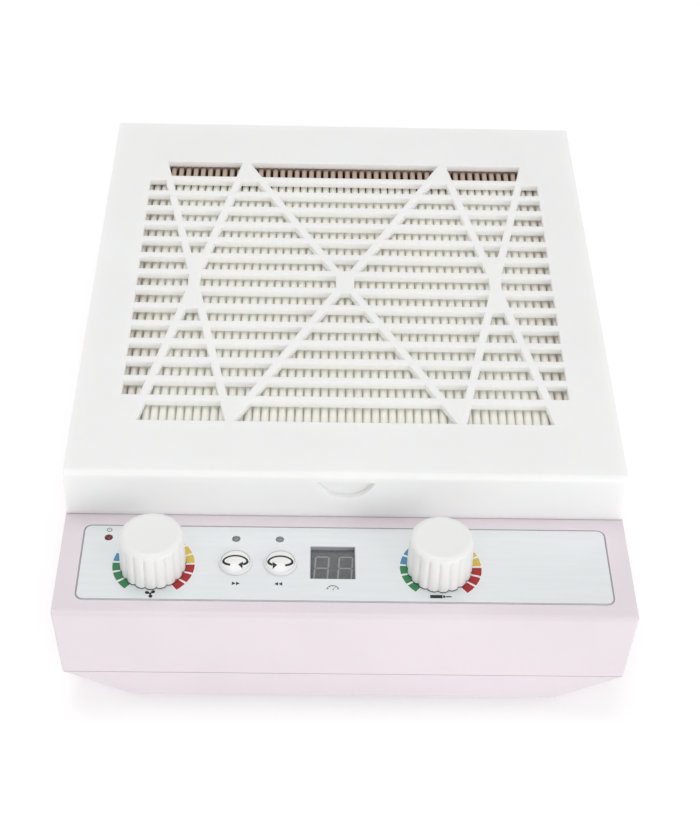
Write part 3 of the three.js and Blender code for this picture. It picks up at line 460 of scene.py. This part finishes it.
def object_from(bm, name, materials, sharp_degrees=CORNER_DEGREES):
    """A smooth-shaded object from a bmesh, with edges sharper than sharp_degrees kept sharp."""
    mesh = bpy.data.meshes.new(name)
    bmesh.ops.recalc_face_normals(bm, faces=bm.faces)
    bm.to_mesh(mesh)
    bm.free()
    for material in materials:
        mesh.materials.append(material)
    for polygon in mesh.polygons:
        polygon.use_smooth = True
    mesh.set_sharp_from_angle(angle=math.radians(sharp_degrees))
    piece = bpy.data.objects.new(name, mesh)
    bpy.context.scene.collection.objects.link(piece)
    return piece


def stand_for(piece, node):
    """The piece rides on the CAD node's body and hides the node."""
    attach(piece, BODIES[node])
    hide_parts(node)


def welded_copy(node):
    """A bmesh copy of a CAD node with its flat faces whole, ready for bevels."""
    bm = bmesh.new()
    bm.from_mesh(frame["nodes"][node].data)
    bmesh.ops.remove_doubles(bm, verts=bm.verts, dist=WELD_DISTANCE)
    bmesh.ops.dissolve_limit(bm, angle_limit=math.radians(FLAT_DEGREES), verts=bm.verts, edges=bm.edges)
    return bm


def sharp_edges(bm, degrees=CORNER_DEGREES):
    """Edges where two faces meet at more than degrees."""
    limit = math.radians(degrees)
    shared = [edge for edge in bm.edges if len(edge.link_faces) == 2]
    return [edge for edge in shared if edge.calc_face_angle(0) >= limit]


def bevel(bm, edges, width, segments):
    bmesh.ops.bevel(bm, geom=edges, offset=width, segments=segments, profile=0.5,
                    affect="EDGES", clamp_overlap=True)


def ring_of(bm, middle, radius, z, around):
    """Vertices evenly round a level circle; radius is a number or a function of the angle."""
    ring = []
    for i in range(around):
        angle = 2 * math.pi * i / around
        reach = radius(angle) if callable(radius) else radius
        place = (middle.x + reach * math.cos(angle), middle.y + reach * math.sin(angle), z)
        ring.append(bm.verts.new(place))
    return ring


def close_loops(bm, loops):
    """Quads between each loop of vertices and the next; every loop is closed."""
    sides = []
    for near, far in zip(loops, loops[1:]):
        for i in range(len(near)):
            j = (i + 1) % len(near)
            sides.append(bm.faces.new((near[i], near[j], far[j], far[i])))
    return sides


def round_front_edge(bm, front, top, radius, steps=8):
    """Turns the straight edge between the top and the front wall into a fillet of the given radius."""
    # the wall leans, so its faces and vertices lie within these distances of front
    face_zone = 1.5 * MM
    vert_zone = 0.9 * MM

    def is_top(face):
        return face.normal.z > 0.9 and face.calc_center_median().z > top - LEVEL_SLACK

    def is_wall(face):
        near_top = max(vert.co.z for vert in face.verts) > top - radius
        in_front = min(vert.co.y for vert in face.verts) < front + face_zone
        return face.normal.y < -0.1 and near_top and in_front

    for i in range(1, steps + 1):
        reach = radius * i / steps
        cuts = [((0, front + reach, 0), (0, 1, 0), is_top), ((0, 0, top - reach), (0, 0, 1), is_wall)]
        for place, normal, wanted in cuts:
            bm.normal_update()
            faces = [face for face in bm.faces if wanted(face)]
            edges = list({edge for face in faces for edge in face.edges})
            verts = list({vert for face in faces for vert in face.verts})
            bmesh.ops.bisect_plane(bm, geom=verts + edges + faces, dist=1e-7,
                                   plane_co=place, plane_no=normal)
    for vert in bm.verts:
        on_top = vert.co.z > top - LEVEL_SLACK and vert.co.y < front + radius
        on_wall = not on_top and vert.co.z > top - radius and vert.co.y < front + vert_zone
        if on_top:
            turn = math.pi / 4 * (1 + max(0, vert.co.y - front) / radius)
            vert.co.y = front + radius * (1 - math.cos(turn))
        elif on_wall:
            turn = math.pi / 4 * (1 - (top - vert.co.z) / radius)
            vert.co.y += radius * (1 - math.cos(turn))
        else:
            continue
        vert.co.z = top - radius * (1 - math.sin(turn))
    bm.normal_update()


def flat_normals(piece):
    """Shading that keeps large faces flat beside their bevels."""
    modifier = piece.modifiers.new("flat_normals", "WEIGHTED_NORMAL")
    modifier.keep_sharp = True


def lathe(name, profile, middle, material, around=64):
    """A solid turned round middle from (radius, z) points that start and end on the axis."""
    bm = bmesh.new()
    rings = []
    for radius, z in profile:
        if radius < WELD_DISTANCE:
            rings.append([bm.verts.new((middle.x, middle.y, z))])
        else:
            rings.append(ring_of(bm, middle, radius, z, around))
    for lower, upper in zip(rings, rings[1:]):
        for i in range(around):
            j = (i + 1) % around
            corners = [lower[i % len(lower)], lower[j % len(lower)],
                       upper[j % len(upper)], upper[i % len(upper)]]
            unique = list(dict.fromkeys(corners))
            if len(unique) > 2:
                bm.faces.new(unique)
    return object_from(bm, name, [material], 35)


def add_plate(bm, outline, bottom, top, index=0):
    """A thin plate from (x, y) outline points; bottom and top are heights or functions of x and y."""

    def layer(level):
        return [bm.verts.new((x, y, level(x, y) if callable(level) else level)) for x, y in outline]

    low = layer(bottom)
    high = layer(top)
    faces = [bm.faces.new(low[::-1]), bm.faces.new(high)] + close_loops(bm, [low, high])
    for face in faces:
        face.material_index = index


def arc_points(x, y, radius, start, end, steps):
    """Points of an arc round (x, y), from start to end degrees."""
    points = []
    for i in range(steps + 1):
        angle = math.radians(start + (end - start) * i / steps)
        points.append((x + radius * math.cos(angle), y + radius * math.sin(angle)))
    return points


def band(x, y, inner, outer, start, end, steps=6):
    """The outline of a curved band round (x, y), from start to end degrees."""
    return arc_points(x, y, outer, start, end, steps) + arc_points(x, y, inner, end, start, steps)


def box_outline(left, right, front, back):
    """The corners of an upright rectangle."""
    return [(left, front), (right, front), (right, back), (left, back)]


# ------------------------------------------------------------------ top cover
def make_top_cover():
    """The lid: a fillet along the top's front edge, rounded rims round the grille's openings."""
    low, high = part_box("top_cover")
    bm = welded_copy("top_cover")
    front = low.y + COVER_DRAFT
    round_front_edge(bm, front, high.z, 2.3 * MM)
    border = 15 * MM

    def is_grille_rim(edge):
        middle = (edge.verts[0].co + edge.verts[1].co) / 2
        on_top = all(vert.co.z > high.z - LEVEL_SLACK for vert in edge.verts)
        return on_top and abs(middle.x) < high.x - border and middle.y > front + border

    rims = [edge for edge in sharp_edges(bm) if is_grille_rim(edge)]
    bevel(bm, rims, width=0.7 * MM, segments=4)
    bevel(bm, sharp_edges(bm), width=0.3 * MM, segments=3)
    piece = object_from(bm, "cover_shell", [MATERIALS["cover_white"]])
    flat_normals(piece)
    stand_for(piece, "top_cover")


# ------------------------------------------------------------------ case
def make_upper_case():
    """The housing, whose lower rim comes down to leave only a fine line above the pan."""
    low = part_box("upper_case")[0]
    label_stands_proud = 0.2 * MM
    deck = panel_top() - label_stands_proud
    rim_slack = 0.05 * MM
    rim_drop = 0.18 * MM
    bm = welded_copy("upper_case")
    round_front_edge(bm, low.y, deck, 2.0 * MM)
    for vert in bm.verts:
        if vert.co.z < low.z + rim_slack:
            vert.co.z = low.z - rim_drop
    bevel(bm, sharp_edges(bm), width=0.3 * MM, segments=3)
    piece = object_from(bm, "case_housing", [MATERIALS["case_pink"]])
    flat_normals(piece)
    stand_for(piece, "upper_case")


def make_bottom_pan():
    """The pan, with soft edges along its sloping sides as well."""
    bm = welded_copy("bottom_pan")
    bevel(bm, sharp_edges(bm, 25), width=0.2 * MM, segments=3)
    piece = object_from(bm, "case_pan", [MATERIALS["case_pink"]])
    flat_normals(piece)
    stand_for(piece, "bottom_pan")


# ------------------------------------------------------------------ pleated filter
PLEAT_COUNT = 54
PLEAT_DEPTH = 17 * MM
# down the side of a gap: half the gap's width as a share of the pitch, and the depth under the crest
GAP_SIDES = [(0.01, PLEAT_DEPTH), (0.012, 3.2 * MM), (0.03, 2.7 * MM), (0.07, 2.1 * MM)]
CREST_STEPS = 8
# half a crest's width as a share of the pitch, its rise, and how much of both the glue takes away
CREST_HALF = 0.39
CREST_RISE = 1.4 * MM
GLUED_PINCH = 0.085
GLUED_FALL = 0.9 * MM


def fold_section(low, high, glued):
    """The zigzag's (x, z) points, with narrower and flatter crests where the paper is glued."""
    pitch = (high.x - low.x) / PLEAT_COUNT
    pinch = GLUED_PINCH * glued
    crest_rise = CREST_RISE - GLUED_FALL * glued
    path = []
    for i in range(PLEAT_COUNT):
        left = low.x + i * pitch
        for share, depth in GAP_SIDES:
            path.append((left + (share + pinch) * pitch, high.z - depth))
        for k in range(CREST_STEPS + 1):
            angle = math.pi * (1 - k / CREST_STEPS)
            x = left + 0.5 * pitch + (CREST_HALF - pinch) * pitch * math.cos(angle)
            path.append((x, high.z - crest_rise * (1 - math.sin(angle))))
        for share, depth in reversed(GAP_SIDES):
            path.append((left + (1 - share - pinch) * pitch, high.z - depth))
    return path


def make_pleats():
    """Folded paper with fat round crests, narrower where it is glued at the rear, and shut at its end."""
    low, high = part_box("filter_pleats")
    glue_from = high.y - 17 * MM
    glue_run = 6 * MM
    shut_from = high.y - 1.8 * MM
    shut_run = 1.4 * MM
    shut_depth = 1.2 * MM
    most_wander = 0.2 * MM
    most_sag = 0.5 * MM
    bm = bmesh.new()
    rows = []
    steps_back = 26
    stations = [low.y + (high.y - low.y) * j / steps_back for j in range(steps_back + 1)]
    stations += [high.y - back * MM for back in (17, 14, 11.5, 9, 4.5, 1.8, 0.4)]
    for y in sorted(stations):
        glued = min(1, max(0, (y - glue_from) / glue_run))
        shut = min(1, max(0, (y - shut_from) / shut_run))
        row = []
        for x, z in fold_section(low, high, glued):
            z = max(z, high.z - PLEAT_DEPTH * (1 - shut) - shut_depth)
            wander = noise.noise(Vector((x * 40, y * 28, 3.1))) * most_wander
            sag = min(0, noise.noise(Vector((x * 60, y * 16, 7.3)))) * most_sag
            x = min(max(x + wander, low.x), high.x)
            row.append(bm.verts.new((x, y, max(z + sag, low.z))))
        rows.append(row)
    for near, far in zip(rows, rows[1:]):
        for i in range(len(near) - 1):
            bm.faces.new((near[i], near[i + 1], far[i + 1], far[i]))
    piece = object_from(bm, "pleated_paper", [MATERIALS["filter_paper"]], 80)
    stand_for(piece, "filter_pleats")


# ------------------------------------------------------------------ control panel
PRINT_HEIGHT = 0.04 * MM
PRINT_SINK = 0.01 * MM
SCALE_COLOURS = ["green", "blue", "violet", "yellow", "red"]


def panel_top():
    """The height of the label's upper face."""
    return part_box("control_panel")[1].z


def print_marks(name, marks, inks):
    """One thin printed piece on the panel from (outline, ink index) pairs."""
    bm = bmesh.new()
    for outline, index in marks:
        add_plate(bm, outline, panel_top() - PRINT_SINK, panel_top() + PRINT_HEIGHT, index)
    panel_mark(object_from(bm, name, inks, THIN_DEGREES))


def rounded_outline(low, high, radius, inset):
    """Points round a rectangle with corners of the given radius, moved inwards by inset."""
    points = []
    for x, y, start in ((high.x - radius, high.y - radius, 0), (low.x + radius, high.y - radius, 90),
                        (low.x + radius, low.y + radius, 180), (high.x - radius, low.y + radius, 270)):
        points += arc_points(x, y, radius - inset, start, start + 90, 8)
    return points


def make_panel():
    """The label and the thin dark line round it, which is painted shade of the groove the label sits in.
    """
    bm = welded_copy("control_panel")
    bevel(bm, sharp_edges(bm), width=0.12 * MM, segments=2)
    piece = object_from(bm, "panel_label", [MATERIALS["panel_silver"]])
    flat_normals(piece)
    stand_for(piece, "control_panel")
    low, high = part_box("control_panel")
    corner = 3.2 * MM
    margin = 0.1 * MM
    width = 0.28 * MM
    top = high.z + PRINT_HEIGHT / 2
    outer = rounded_outline(low, high, corner, margin)
    inner = rounded_outline(low, high, corner, margin + width)
    bm = bmesh.new()
    loops = []
    foot = top - PRINT_HEIGHT
    for points, z in ((outer, foot), (outer, top), (inner, top), (inner, foot)):
        loops.append([bm.verts.new((x, y, z)) for x, y in points])
    close_loops(bm, loops + loops[:1])
    # painted shade: a dark line in the groove round the label
    line = object_from(bm, "panel_groove_shade_line", [INKS["edge"]], THIN_DEGREES)
    panel_mark(line)


def make_scale(name, x, y):
    """Fifteen coloured segments round a knob, three of each colour, each with a white outline."""
    inks = [INKS[colour] for colour in SCALE_COLOURS] + [INKS["white"]]
    white = len(SCALE_COLOURS)
    each = 3
    inner, outer, rim = 12.95 * MM, 16.85 * MM, 17.1 * MM
    # degrees: from one segment to the next, the gap between them, and the first segment's start
    pitch = 19.1
    gap = 3.6
    first = 270 - 37.8
    side_inset, side_half = 0.75, 0.6
    marks = []
    for i in range(each * len(SCALE_COLOURS)):
        start = first - i * pitch - gap / 2
        end = start - pitch + gap
        marks.append((band(x, y, inner, outer, start, end), i // each))
        marks.append((band(x, y, outer + 0.02 * MM, rim, start, end), white))
        for side in (start + side_inset, end - side_inset):
            marks.append((band(x, y, inner, rim, side + side_half, side - side_half, 1), white))
    print_marks(name, marks, inks)


def circle(x, y, radius, steps):
    return arc_points(x, y, radius, 0, 360 - 360 / steps, steps - 1)


def make_symbols():
    """Generic symbols where such a panel carries its captions: power, fan, drill, arrows and a gauge."""
    fan = centre("fan_knob")
    drill = centre("drill_knob")
    power = centre("power_light")
    forward = centre("forward_button")
    reverse = centre("reverse_button")
    display = centre("display_lens")
    caption_y = forward.y - 11.1 * MM
    knob_caption_y = fan.y - 15.5 * MM
    outlines = []

    # power: an open ring with a bar
    y = power.y + 4.2 * MM
    half = 0.13 * MM
    outlines.append(band(power.x, y, 0.85 * MM, 1.1 * MM, 120, 420, 20))
    outlines.append(box_outline(power.x - half, power.x + half, y, y + 1.3 * MM))

    # fan: a hub and three curved blades
    blades, blade_turn, blade_steps = 3, 78, 8
    outlines.append(circle(fan.x, knob_caption_y, 0.52 * MM, 16))
    for k in range(blades):
        blade = []
        for t in range(blade_steps + 1):
            share = t / blade_steps
            angle = math.radians(360 / blades * k + blade_turn * share)
            reach = (0.75 + 1.55 * math.sin(math.pi * share) ** 0.6) * MM
            blade.append((fan.x + reach * math.cos(angle), knob_caption_y + reach * math.sin(angle)))
        outlines.append(blade)

    # drill: a handle, a collar and a pointed bit
    for left, right, half in ((-4.4, 0.6, 0.85), (0.85, 1.7, 0.62)):
        outlines.append(box_outline(drill.x + left * MM, drill.x + right * MM,
                                    knob_caption_y - half * MM, knob_caption_y + half * MM))
    bit = [(1.9, -0.3), (4.0, -0.3), (4.6, 0), (4.0, 0.3), (1.9, 0.3)]
    outlines.append([(drill.x + x * MM, knob_caption_y + y * MM) for x, y in bit])

    # keys: two triangles each, pointing right for forward and left for reverse
    half = 0.95 * MM
    for key, way in ((forward, 1), (reverse, -1)):
        for offset in (-1.0, 0.7):
            back = key.x + way * offset * MM
            tip = key.x + way * (offset + 1.5) * MM
            outlines.append([(back, caption_y - half), (tip, caption_y), (back, caption_y + half)])

    # display: a gauge arc with ticks and a needle
    gauge_y = caption_y - 3.0 * MM
    outlines.append(band(display.x, gauge_y, 2.3 * MM, 2.55 * MM, 10, 170, 24))
    for angle in (20, 55, 90, 125, 160):
        outlines.append(band(display.x, gauge_y, 1.75 * MM, 2.35 * MM, angle - 3, angle + 3, 1))
    needle = math.radians(62)
    reach = 1.9 * MM
    tip = (display.x + reach * math.cos(needle), gauge_y + reach * math.sin(needle))
    outlines.append([(display.x - 0.2 * MM, gauge_y), (display.x + 0.2 * MM, gauge_y), tip])
    print_marks("panel_symbols", [(outline, 0) for outline in outlines], [INKS["dark"]])


# ------------------------------------------------------------------ knobs
KNOB_FLUTES = 18
KNOB_DISH = 0.1 * MM


def knob_profile(radius, height, foot):
    """(inset, height, share of the grooves' depth) from the foot, painted dark as the shadow gap under the
    knob, up over the shoulder to the dish.
    """
    taper = 0.4 * MM
    shoulder = height - 2.0 * MM
    disc_inset = radius - 10.2 * MM
    skirt = 0.5 * MM
    profile = [(-0.16 * MM, foot, 1), (-0.14 * MM, 0, 1), (0.04 * MM, 0.04 * MM, 1), (0, skirt, 1)]
    side_steps = 8
    for i in range(1, side_steps + 1):
        level = skirt + (shoulder - skirt) * i / side_steps
        profile.append((taper * i / side_steps, level, min(1, 0.5 + (shoulder - level) / (4 * MM))))
    round_steps = 12
    for i in range(1, round_steps + 1):
        turned = math.pi / 2 * i / round_steps
        inset = taper + (disc_inset - taper) * (1 - math.cos(turned))
        depth = max(0, 0.5 - 0.9 * i / round_steps)
        profile.append((inset, shoulder + (height - shoulder) * math.sin(turned), depth))
    for share in (0.97, 0.9, 0.7, 0.5, 0.25):
        ring_radius = (radius - disc_inset) * share
        profile.append((radius - ring_radius, height - KNOB_DISH * min(1, 5 * (1 - share)), 0))
    return profile


def make_knob(node, turn):
    """A knob with lobes between grooves, one of them at turn degrees, a flat top and a foot painted dark
    as the shadow gap under it.
    """
    low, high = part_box(node)
    middle = centre(node)
    radius = max(high.x - low.x, high.y - low.y) / 2
    groove = 0.9 * MM
    around = KNOB_FLUTES * 16
    foot_gap = 0.02 * MM
    foot = panel_top() + PRINT_HEIGHT + foot_gap - low.z

    def fluted(inset, depth):
        """The radius at each angle, at a level with this inset and depth of groove."""

        def reach(angle):
            lobe = abs(math.sin(KNOB_FLUTES * (angle - math.radians(turn)) / 2))
            return radius - inset - groove * depth * (1 - lobe) ** 1.7

        return reach

    bm = bmesh.new()
    rings = []
    for inset, z, depth in knob_profile(radius, high.z - low.z, foot):
        rings.append(ring_of(bm, middle, fluted(inset, depth), low.z + z, around))
    sides = close_loops(bm, rings)
    # painted shadow: the lowest rows, down to the panel, take the black material
    painted_shadow_rows = 2
    for side in sides[:painted_shadow_rows * around]:
        side.material_index = 1
    tip = bm.verts.new((middle.x, middle.y, high.z - KNOB_DISH))
    for i in range(around):
        bm.faces.new((rings[-1][i], rings[-1][(i + 1) % around], tip))
    bm.faces.new(rings[0][::-1])
    piece = object_from(bm, node + "_cap", [MATERIALS["knob_white"], MATERIALS["black_plastic"]], 50)
    stand_for(piece, node)


# ------------------------------------------------------------------ keys
ARROW_REACH = (4.95 * MM, 2.55 * MM)
ARROW_STROKE = 0.48 * MM
ARROW_SHIFT = -0.35 * MM
ARROW_STEPS = 36
# the arrowhead's tip, upper barb, notch and lower barb, in millimetres from the arrow's middle
ARROW_HEAD = [Vector(point) * MM for point in ((1.25, -2.2), (3.2, -0.55), (3.1, -2.2), (3.05, -3.95))]
HEAD_CELLS = 5
KEY_PRINT_HEIGHT = 0.03 * MM
KEY_PRINT_SINK = 0.15 * MM


def key_dome(node):
    """The height of a key's gently domed top at (x, y)."""
    low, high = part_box(node)
    middle = centre(node)
    radius = (high.x - low.x) / 2

    def height(x, y):
        share = min(1.0, math.hypot(x - middle.x, y - middle.y) / radius)
        return high.z - 1.15 * MM * share ** 2.4

    return height


def arrow_patches():
    """Small four-sided patches along an open ellipse and its arrowhead, which can follow a dome."""
    wide, deep = ARROW_REACH
    start, end = math.radians(246), math.radians(-50)
    inside, outside = [], []
    for i in range(ARROW_STEPS + 1):
        turn = start + (end - start) * i / ARROW_STEPS
        place = Vector((wide * math.cos(turn), deep * math.sin(turn)))
        outward = Vector((deep * math.cos(turn), wide * math.sin(turn))).normalized()
        inside.append(place - outward * ARROW_STROKE)
        outside.append(place + outward * ARROW_STROKE)
    patches = list(zip(inside, inside[1:], outside[1:], outside))
    tip, upper, notch, lower = ARROW_HEAD
    blunt = 0.02

    def head_point(corner, u, v):
        return tip.lerp(notch.lerp(corner, v / HEAD_CELLS), (u + blunt) / (HEAD_CELLS + blunt))

    for corner in (upper, lower):
        for i in range(HEAD_CELLS):
            for j in range(HEAD_CELLS):
                cell = ((i, j), (i + 1, j), (i + 1, j + 1), (i, j + 1))
                patches.append([head_point(corner, u, v) for u, v in cell])
    return patches


def make_key(side, way):
    """A glossy domed cap with a printed curved arrow; way is 1 or -1 for the arrow's direction."""
    node = side + "_button"
    low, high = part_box(node)
    middle = centre(node)
    radius = (high.x - low.x) / 2
    dome = key_dome(node)
    profile = [(0, low.z), (radius, low.z), (radius, high.z - 1.6 * MM)]
    for share in (0.985, 0.94, 0.87, 0.78, 0.66, 0.5, 0.33, 0.16):
        profile.append((radius * share, dome(middle.x + radius * share, middle.y)))
    profile.append((0, high.z))
    stand_for(lathe(node + "_cap", profile, middle, MATERIALS["button_white"]), node)

    def print_top(x, y):
        return dome(x, y) + KEY_PRINT_HEIGHT

    def print_bottom(x, y):
        return dome(x, y) - KEY_PRINT_SINK

    bm = bmesh.new()
    for patch in arrow_patches():
        outline = [(middle.x + way * point.x, middle.y + ARROW_SHIFT + point.y) for point in patch]
        add_plate(bm, outline, print_bottom, print_top)
    arrow = object_from(bm, node + "_arrow", [INKS["dark"]], 60)
    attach(arrow, BODIES[node])


def make_key_ring(side):
    """The fixed ring round a key: a quarter-round outside and a small chamfer at the key."""
    key_low, key_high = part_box(side + "_button")
    node = side + "_button_ring"
    low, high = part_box(node)
    outer = (high.x - low.x) / 2
    inner = (key_high.x - key_low.x) / 2 + 0.12 * MM
    foot = 0.3 * MM
    round_steps = 8
    section = [(inner, low.z), (outer, low.z), (outer - 0.03 * MM, low.z + foot)]
    for i in range(1, round_steps + 1):
        turn = math.pi / 2 * i / round_steps
        section.append((outer - 0.9 * MM + 0.87 * MM * math.cos(turn),
                        low.z + foot + (high.z - low.z - foot) * math.sin(turn)))
    section += [(inner + 0.12 * MM, high.z - 0.05 * MM), (inner, high.z - 0.2 * MM)]
    bm = bmesh.new()
    middle = centre(side + "_button")
    loops = [ring_of(bm, middle, r, z, 72) for r, z in section]
    close_loops(bm, loops + loops[:1])
    stand_for(object_from(bm, node + "_trim", [MATERIALS["button_ring"]], 50), node)


# ------------------------------------------------------------------ indicators and display
def make_light(side):
    """A three-millimetre class indicator: a collar under a round dome."""
    node = side + "_light"
    low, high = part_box(node)
    radius = (high.x - low.x) / 2 + 0.15 * MM
    dome = 0.9 * MM
    steps = 7
    profile = [(0, low.z), (radius, low.z), (radius, high.z - dome)]
    for i in range(1, steps):
        turn = math.pi / 2 * i / steps
        profile.append((radius * math.cos(turn), high.z - dome + dome * math.sin(turn)))
    profile.append((0, high.z))
    stand_for(lathe(node + "_lens", profile, centre(node), MATERIALS[SLOTS[node]], 40), node)


def digit_segments(x, y, width, height):
    """The seven bars of one digit, as six-cornered outlines."""
    half = 0.34 * MM
    gap = 0.15 * MM
    left, right = x - width / 2 + half, x + width / 2 - half
    bottom, top = y - height / 2 + half, y + height / 2 - half
    bars = []
    for level in (bottom, y, top):
        a, b = left + gap, right - gap
        bars.append([(a, level), (a + half, level - half), (b - half, level - half), (b, level),
                     (b - half, level + half), (a + half, level + half)])
    for at in (left, right):
        for start, end in ((bottom, y), (y, top)):
            a, b = start + gap, end - gap
            bars.append([(at, a), (at + half, a + half), (at + half, b - half), (at, b),
                         (at - half, b - half), (at - half, a + half)])
    return bars


def make_display():
    """A smoked window, sunk in the panel, with two unlit digits in it and a pale surround."""
    low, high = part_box("display_lens")
    middle = centre("display_lens")
    bm = welded_copy("display_lens")
    bevel(bm, sharp_edges(bm), width=0.2 * MM, segments=3)
    window = object_from(bm, "display_window", [MATERIALS["display_smoke"]])
    flat_normals(window)
    stand_for(window, "display_lens")

    digits = bmesh.new()
    slant = 0.06
    width, height = 6.2 * MM, 13.1 * MM
    y = middle.y - 1.45 * MM
    for x in (middle.x - 4.5 * MM, middle.x + 5.3 * MM):
        for outline in digit_segments(x, y, width, height):
            slanted = [(a + slant * (b - middle.y), b) for a, b in outline]
            add_plate(digits, slanted, high.z - 0.1 * MM, high.z + 0.02 * MM)
    segments = object_from(digits, "display_digits", [INKS["segment"]], THIN_DEGREES)
    panel_mark(segments)

    surround = bmesh.new()
    wall = 0.28 * MM
    rim = panel_top() - 0.25 * MM
    for sides in ((low.x, high.x, high.y, high.y + wall), (low.x, high.x, low.y - wall, low.y),
                  (low.x - wall, low.x, low.y - wall, high.y + wall),
                  (high.x, high.x + wall, low.y - wall, high.y + wall)):
        add_plate(surround, box_outline(*sides), low.z, rim)
    liner = object_from(surround, "display_surround", [MATERIALS["display_liner"]], THIN_DEGREES)
    panel_mark(liner)


# ------------------------------------------------------------------ marks on the power rocker
def make_rocker_marks():
    """A bar on the upper half of the rocker and a ring on the lower half, in white."""
    joints = {joint["name"]: joint for joint in frame["record"]["behaviour"]["joints"]}
    joint = joints["power_rocker_tilt"]
    pivot = Vector(joint["pos_m"])
    tilt = math.radians(joint["range_deg"][1] / 2)
    thickness = 0.03 * MM
    ring_quarters = [band(0, 0, 1.0, 1.5, start, start + 90, 6) for start in (0, 90, 180, 270)]

    def turned(y, z):
        """A point of the rocker's side outline, turned to its place at rest."""
        return Vector((0, y * math.cos(tilt) + z * math.sin(tilt),
                       z * math.cos(tilt) - y * math.sin(tilt))) * MM

    bm = bmesh.new()
    ridge = turned(1, 0)
    for end, outlines in ((turned(2.2, 7), [box_outline(-0.45, 0.45, -1.7, 1.7)]),
                          (turned(2.2, -7), ring_quarters)):
        middle = pivot + ridge.lerp(end, 0.55)
        up = (end - ridge).normalized()
        out = Vector((0, abs(up.z), -up.y * math.copysign(1, up.z)))
        for outline in outlines:
            layers = []
            for level in (-thickness, thickness):
                places = [middle + Vector((x * MM, 0, 0)) + up * (v * MM) + out * level
                          for x, v in outline]
                layers.append([bm.verts.new(place) for place in places])
            bm.faces.new(layers[0][::-1])
            bm.faces.new(layers[1])
            close_loops(bm, layers)
    marks = object_from(bm, "power_rocker_marks", [INKS["white"]], THIN_DEGREES)
    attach(marks, BODIES["power_rocker"])


# ------------------------------------------------------------------ parts that keep their CAD shape
def dress(node, width):
    """A CAD node keeps its mesh and gets its material, whole faces and softened edges."""
    piece = frame["nodes"][node]
    piece.data.materials.clear()
    piece.data.materials.append(MATERIALS[SLOTS[node]])
    for polygon in piece.data.polygons:
        polygon.use_smooth = True
    weld = piece.modifiers.new("weld", "WELD")
    weld.merge_threshold = WELD_DISTANCE
    whole = piece.modifiers.new("whole_faces", "DECIMATE")
    whole.decimate_type = "DISSOLVE"
    whole.angle_limit = math.radians(FLAT_DEGREES)
    soft = piece.modifiers.new("soft_edges", "BEVEL")
    soft.width = width
    soft.segments = 2
    soft.limit_method = "ANGLE"
    soft.angle_limit = math.radians(CORNER_DEGREES)
    soft.harden_normals = True
    flat_normals(piece)


def dress_the_rest():
    """Every CAD node that no made piece stands for."""
    for name, piece in frame["nodes"].items():
        if not piece.hide_render:
            dress(name, 0.15 * MM)


# ------------------------------------------------------------------ floor
def make_floor():
    """A wide plane a hair under the feet, so that no two faces coincide."""
    bm = bmesh.new()
    corners = box_outline(-FLOOR_REACH, FLOOR_REACH, -FLOOR_REACH, FLOOR_REACH)
    bm.faces.new([bm.verts.new((x, y, -FLOOR_DROP)) for x, y in corners])
    material = new_material("floor", (0.93, 0.93, 0.93), 0.6)
    shader_of(material).inputs["Emission Color"].default_value = (1, 1, 1, 1)
    shader_of(material).inputs["Emission Strength"].default_value = FLOOR_GLOW
    grain = noise_node(material, place_node(material), 30 * MM, 3)
    vary_roughness(material, grain, 0.55, 0.65)
    object_from(bm, "floor", [material])


make_camera()
make_lights()
make_top_cover()
make_upper_case()
make_bottom_pan()
make_pleats()
make_panel()
make_scale("fan_scale", centre("fan_knob").x + 0.2 * MM, centre("fan_knob").y)
make_scale("drill_scale", centre("drill_knob").x + 0.6 * MM, centre("drill_knob").y)
make_symbols()
make_knob("fan_knob", 0)
make_knob("drill_knob", 5)
for key_side, arrow_way in (("forward", 1), ("reverse", -1)):
    make_key(key_side, arrow_way)
    make_key_ring(key_side)
for indicator in ("power", "forward", "reverse"):
    make_light(indicator)
make_display()
make_rocker_marks()
dress_the_rest()
make_floor()
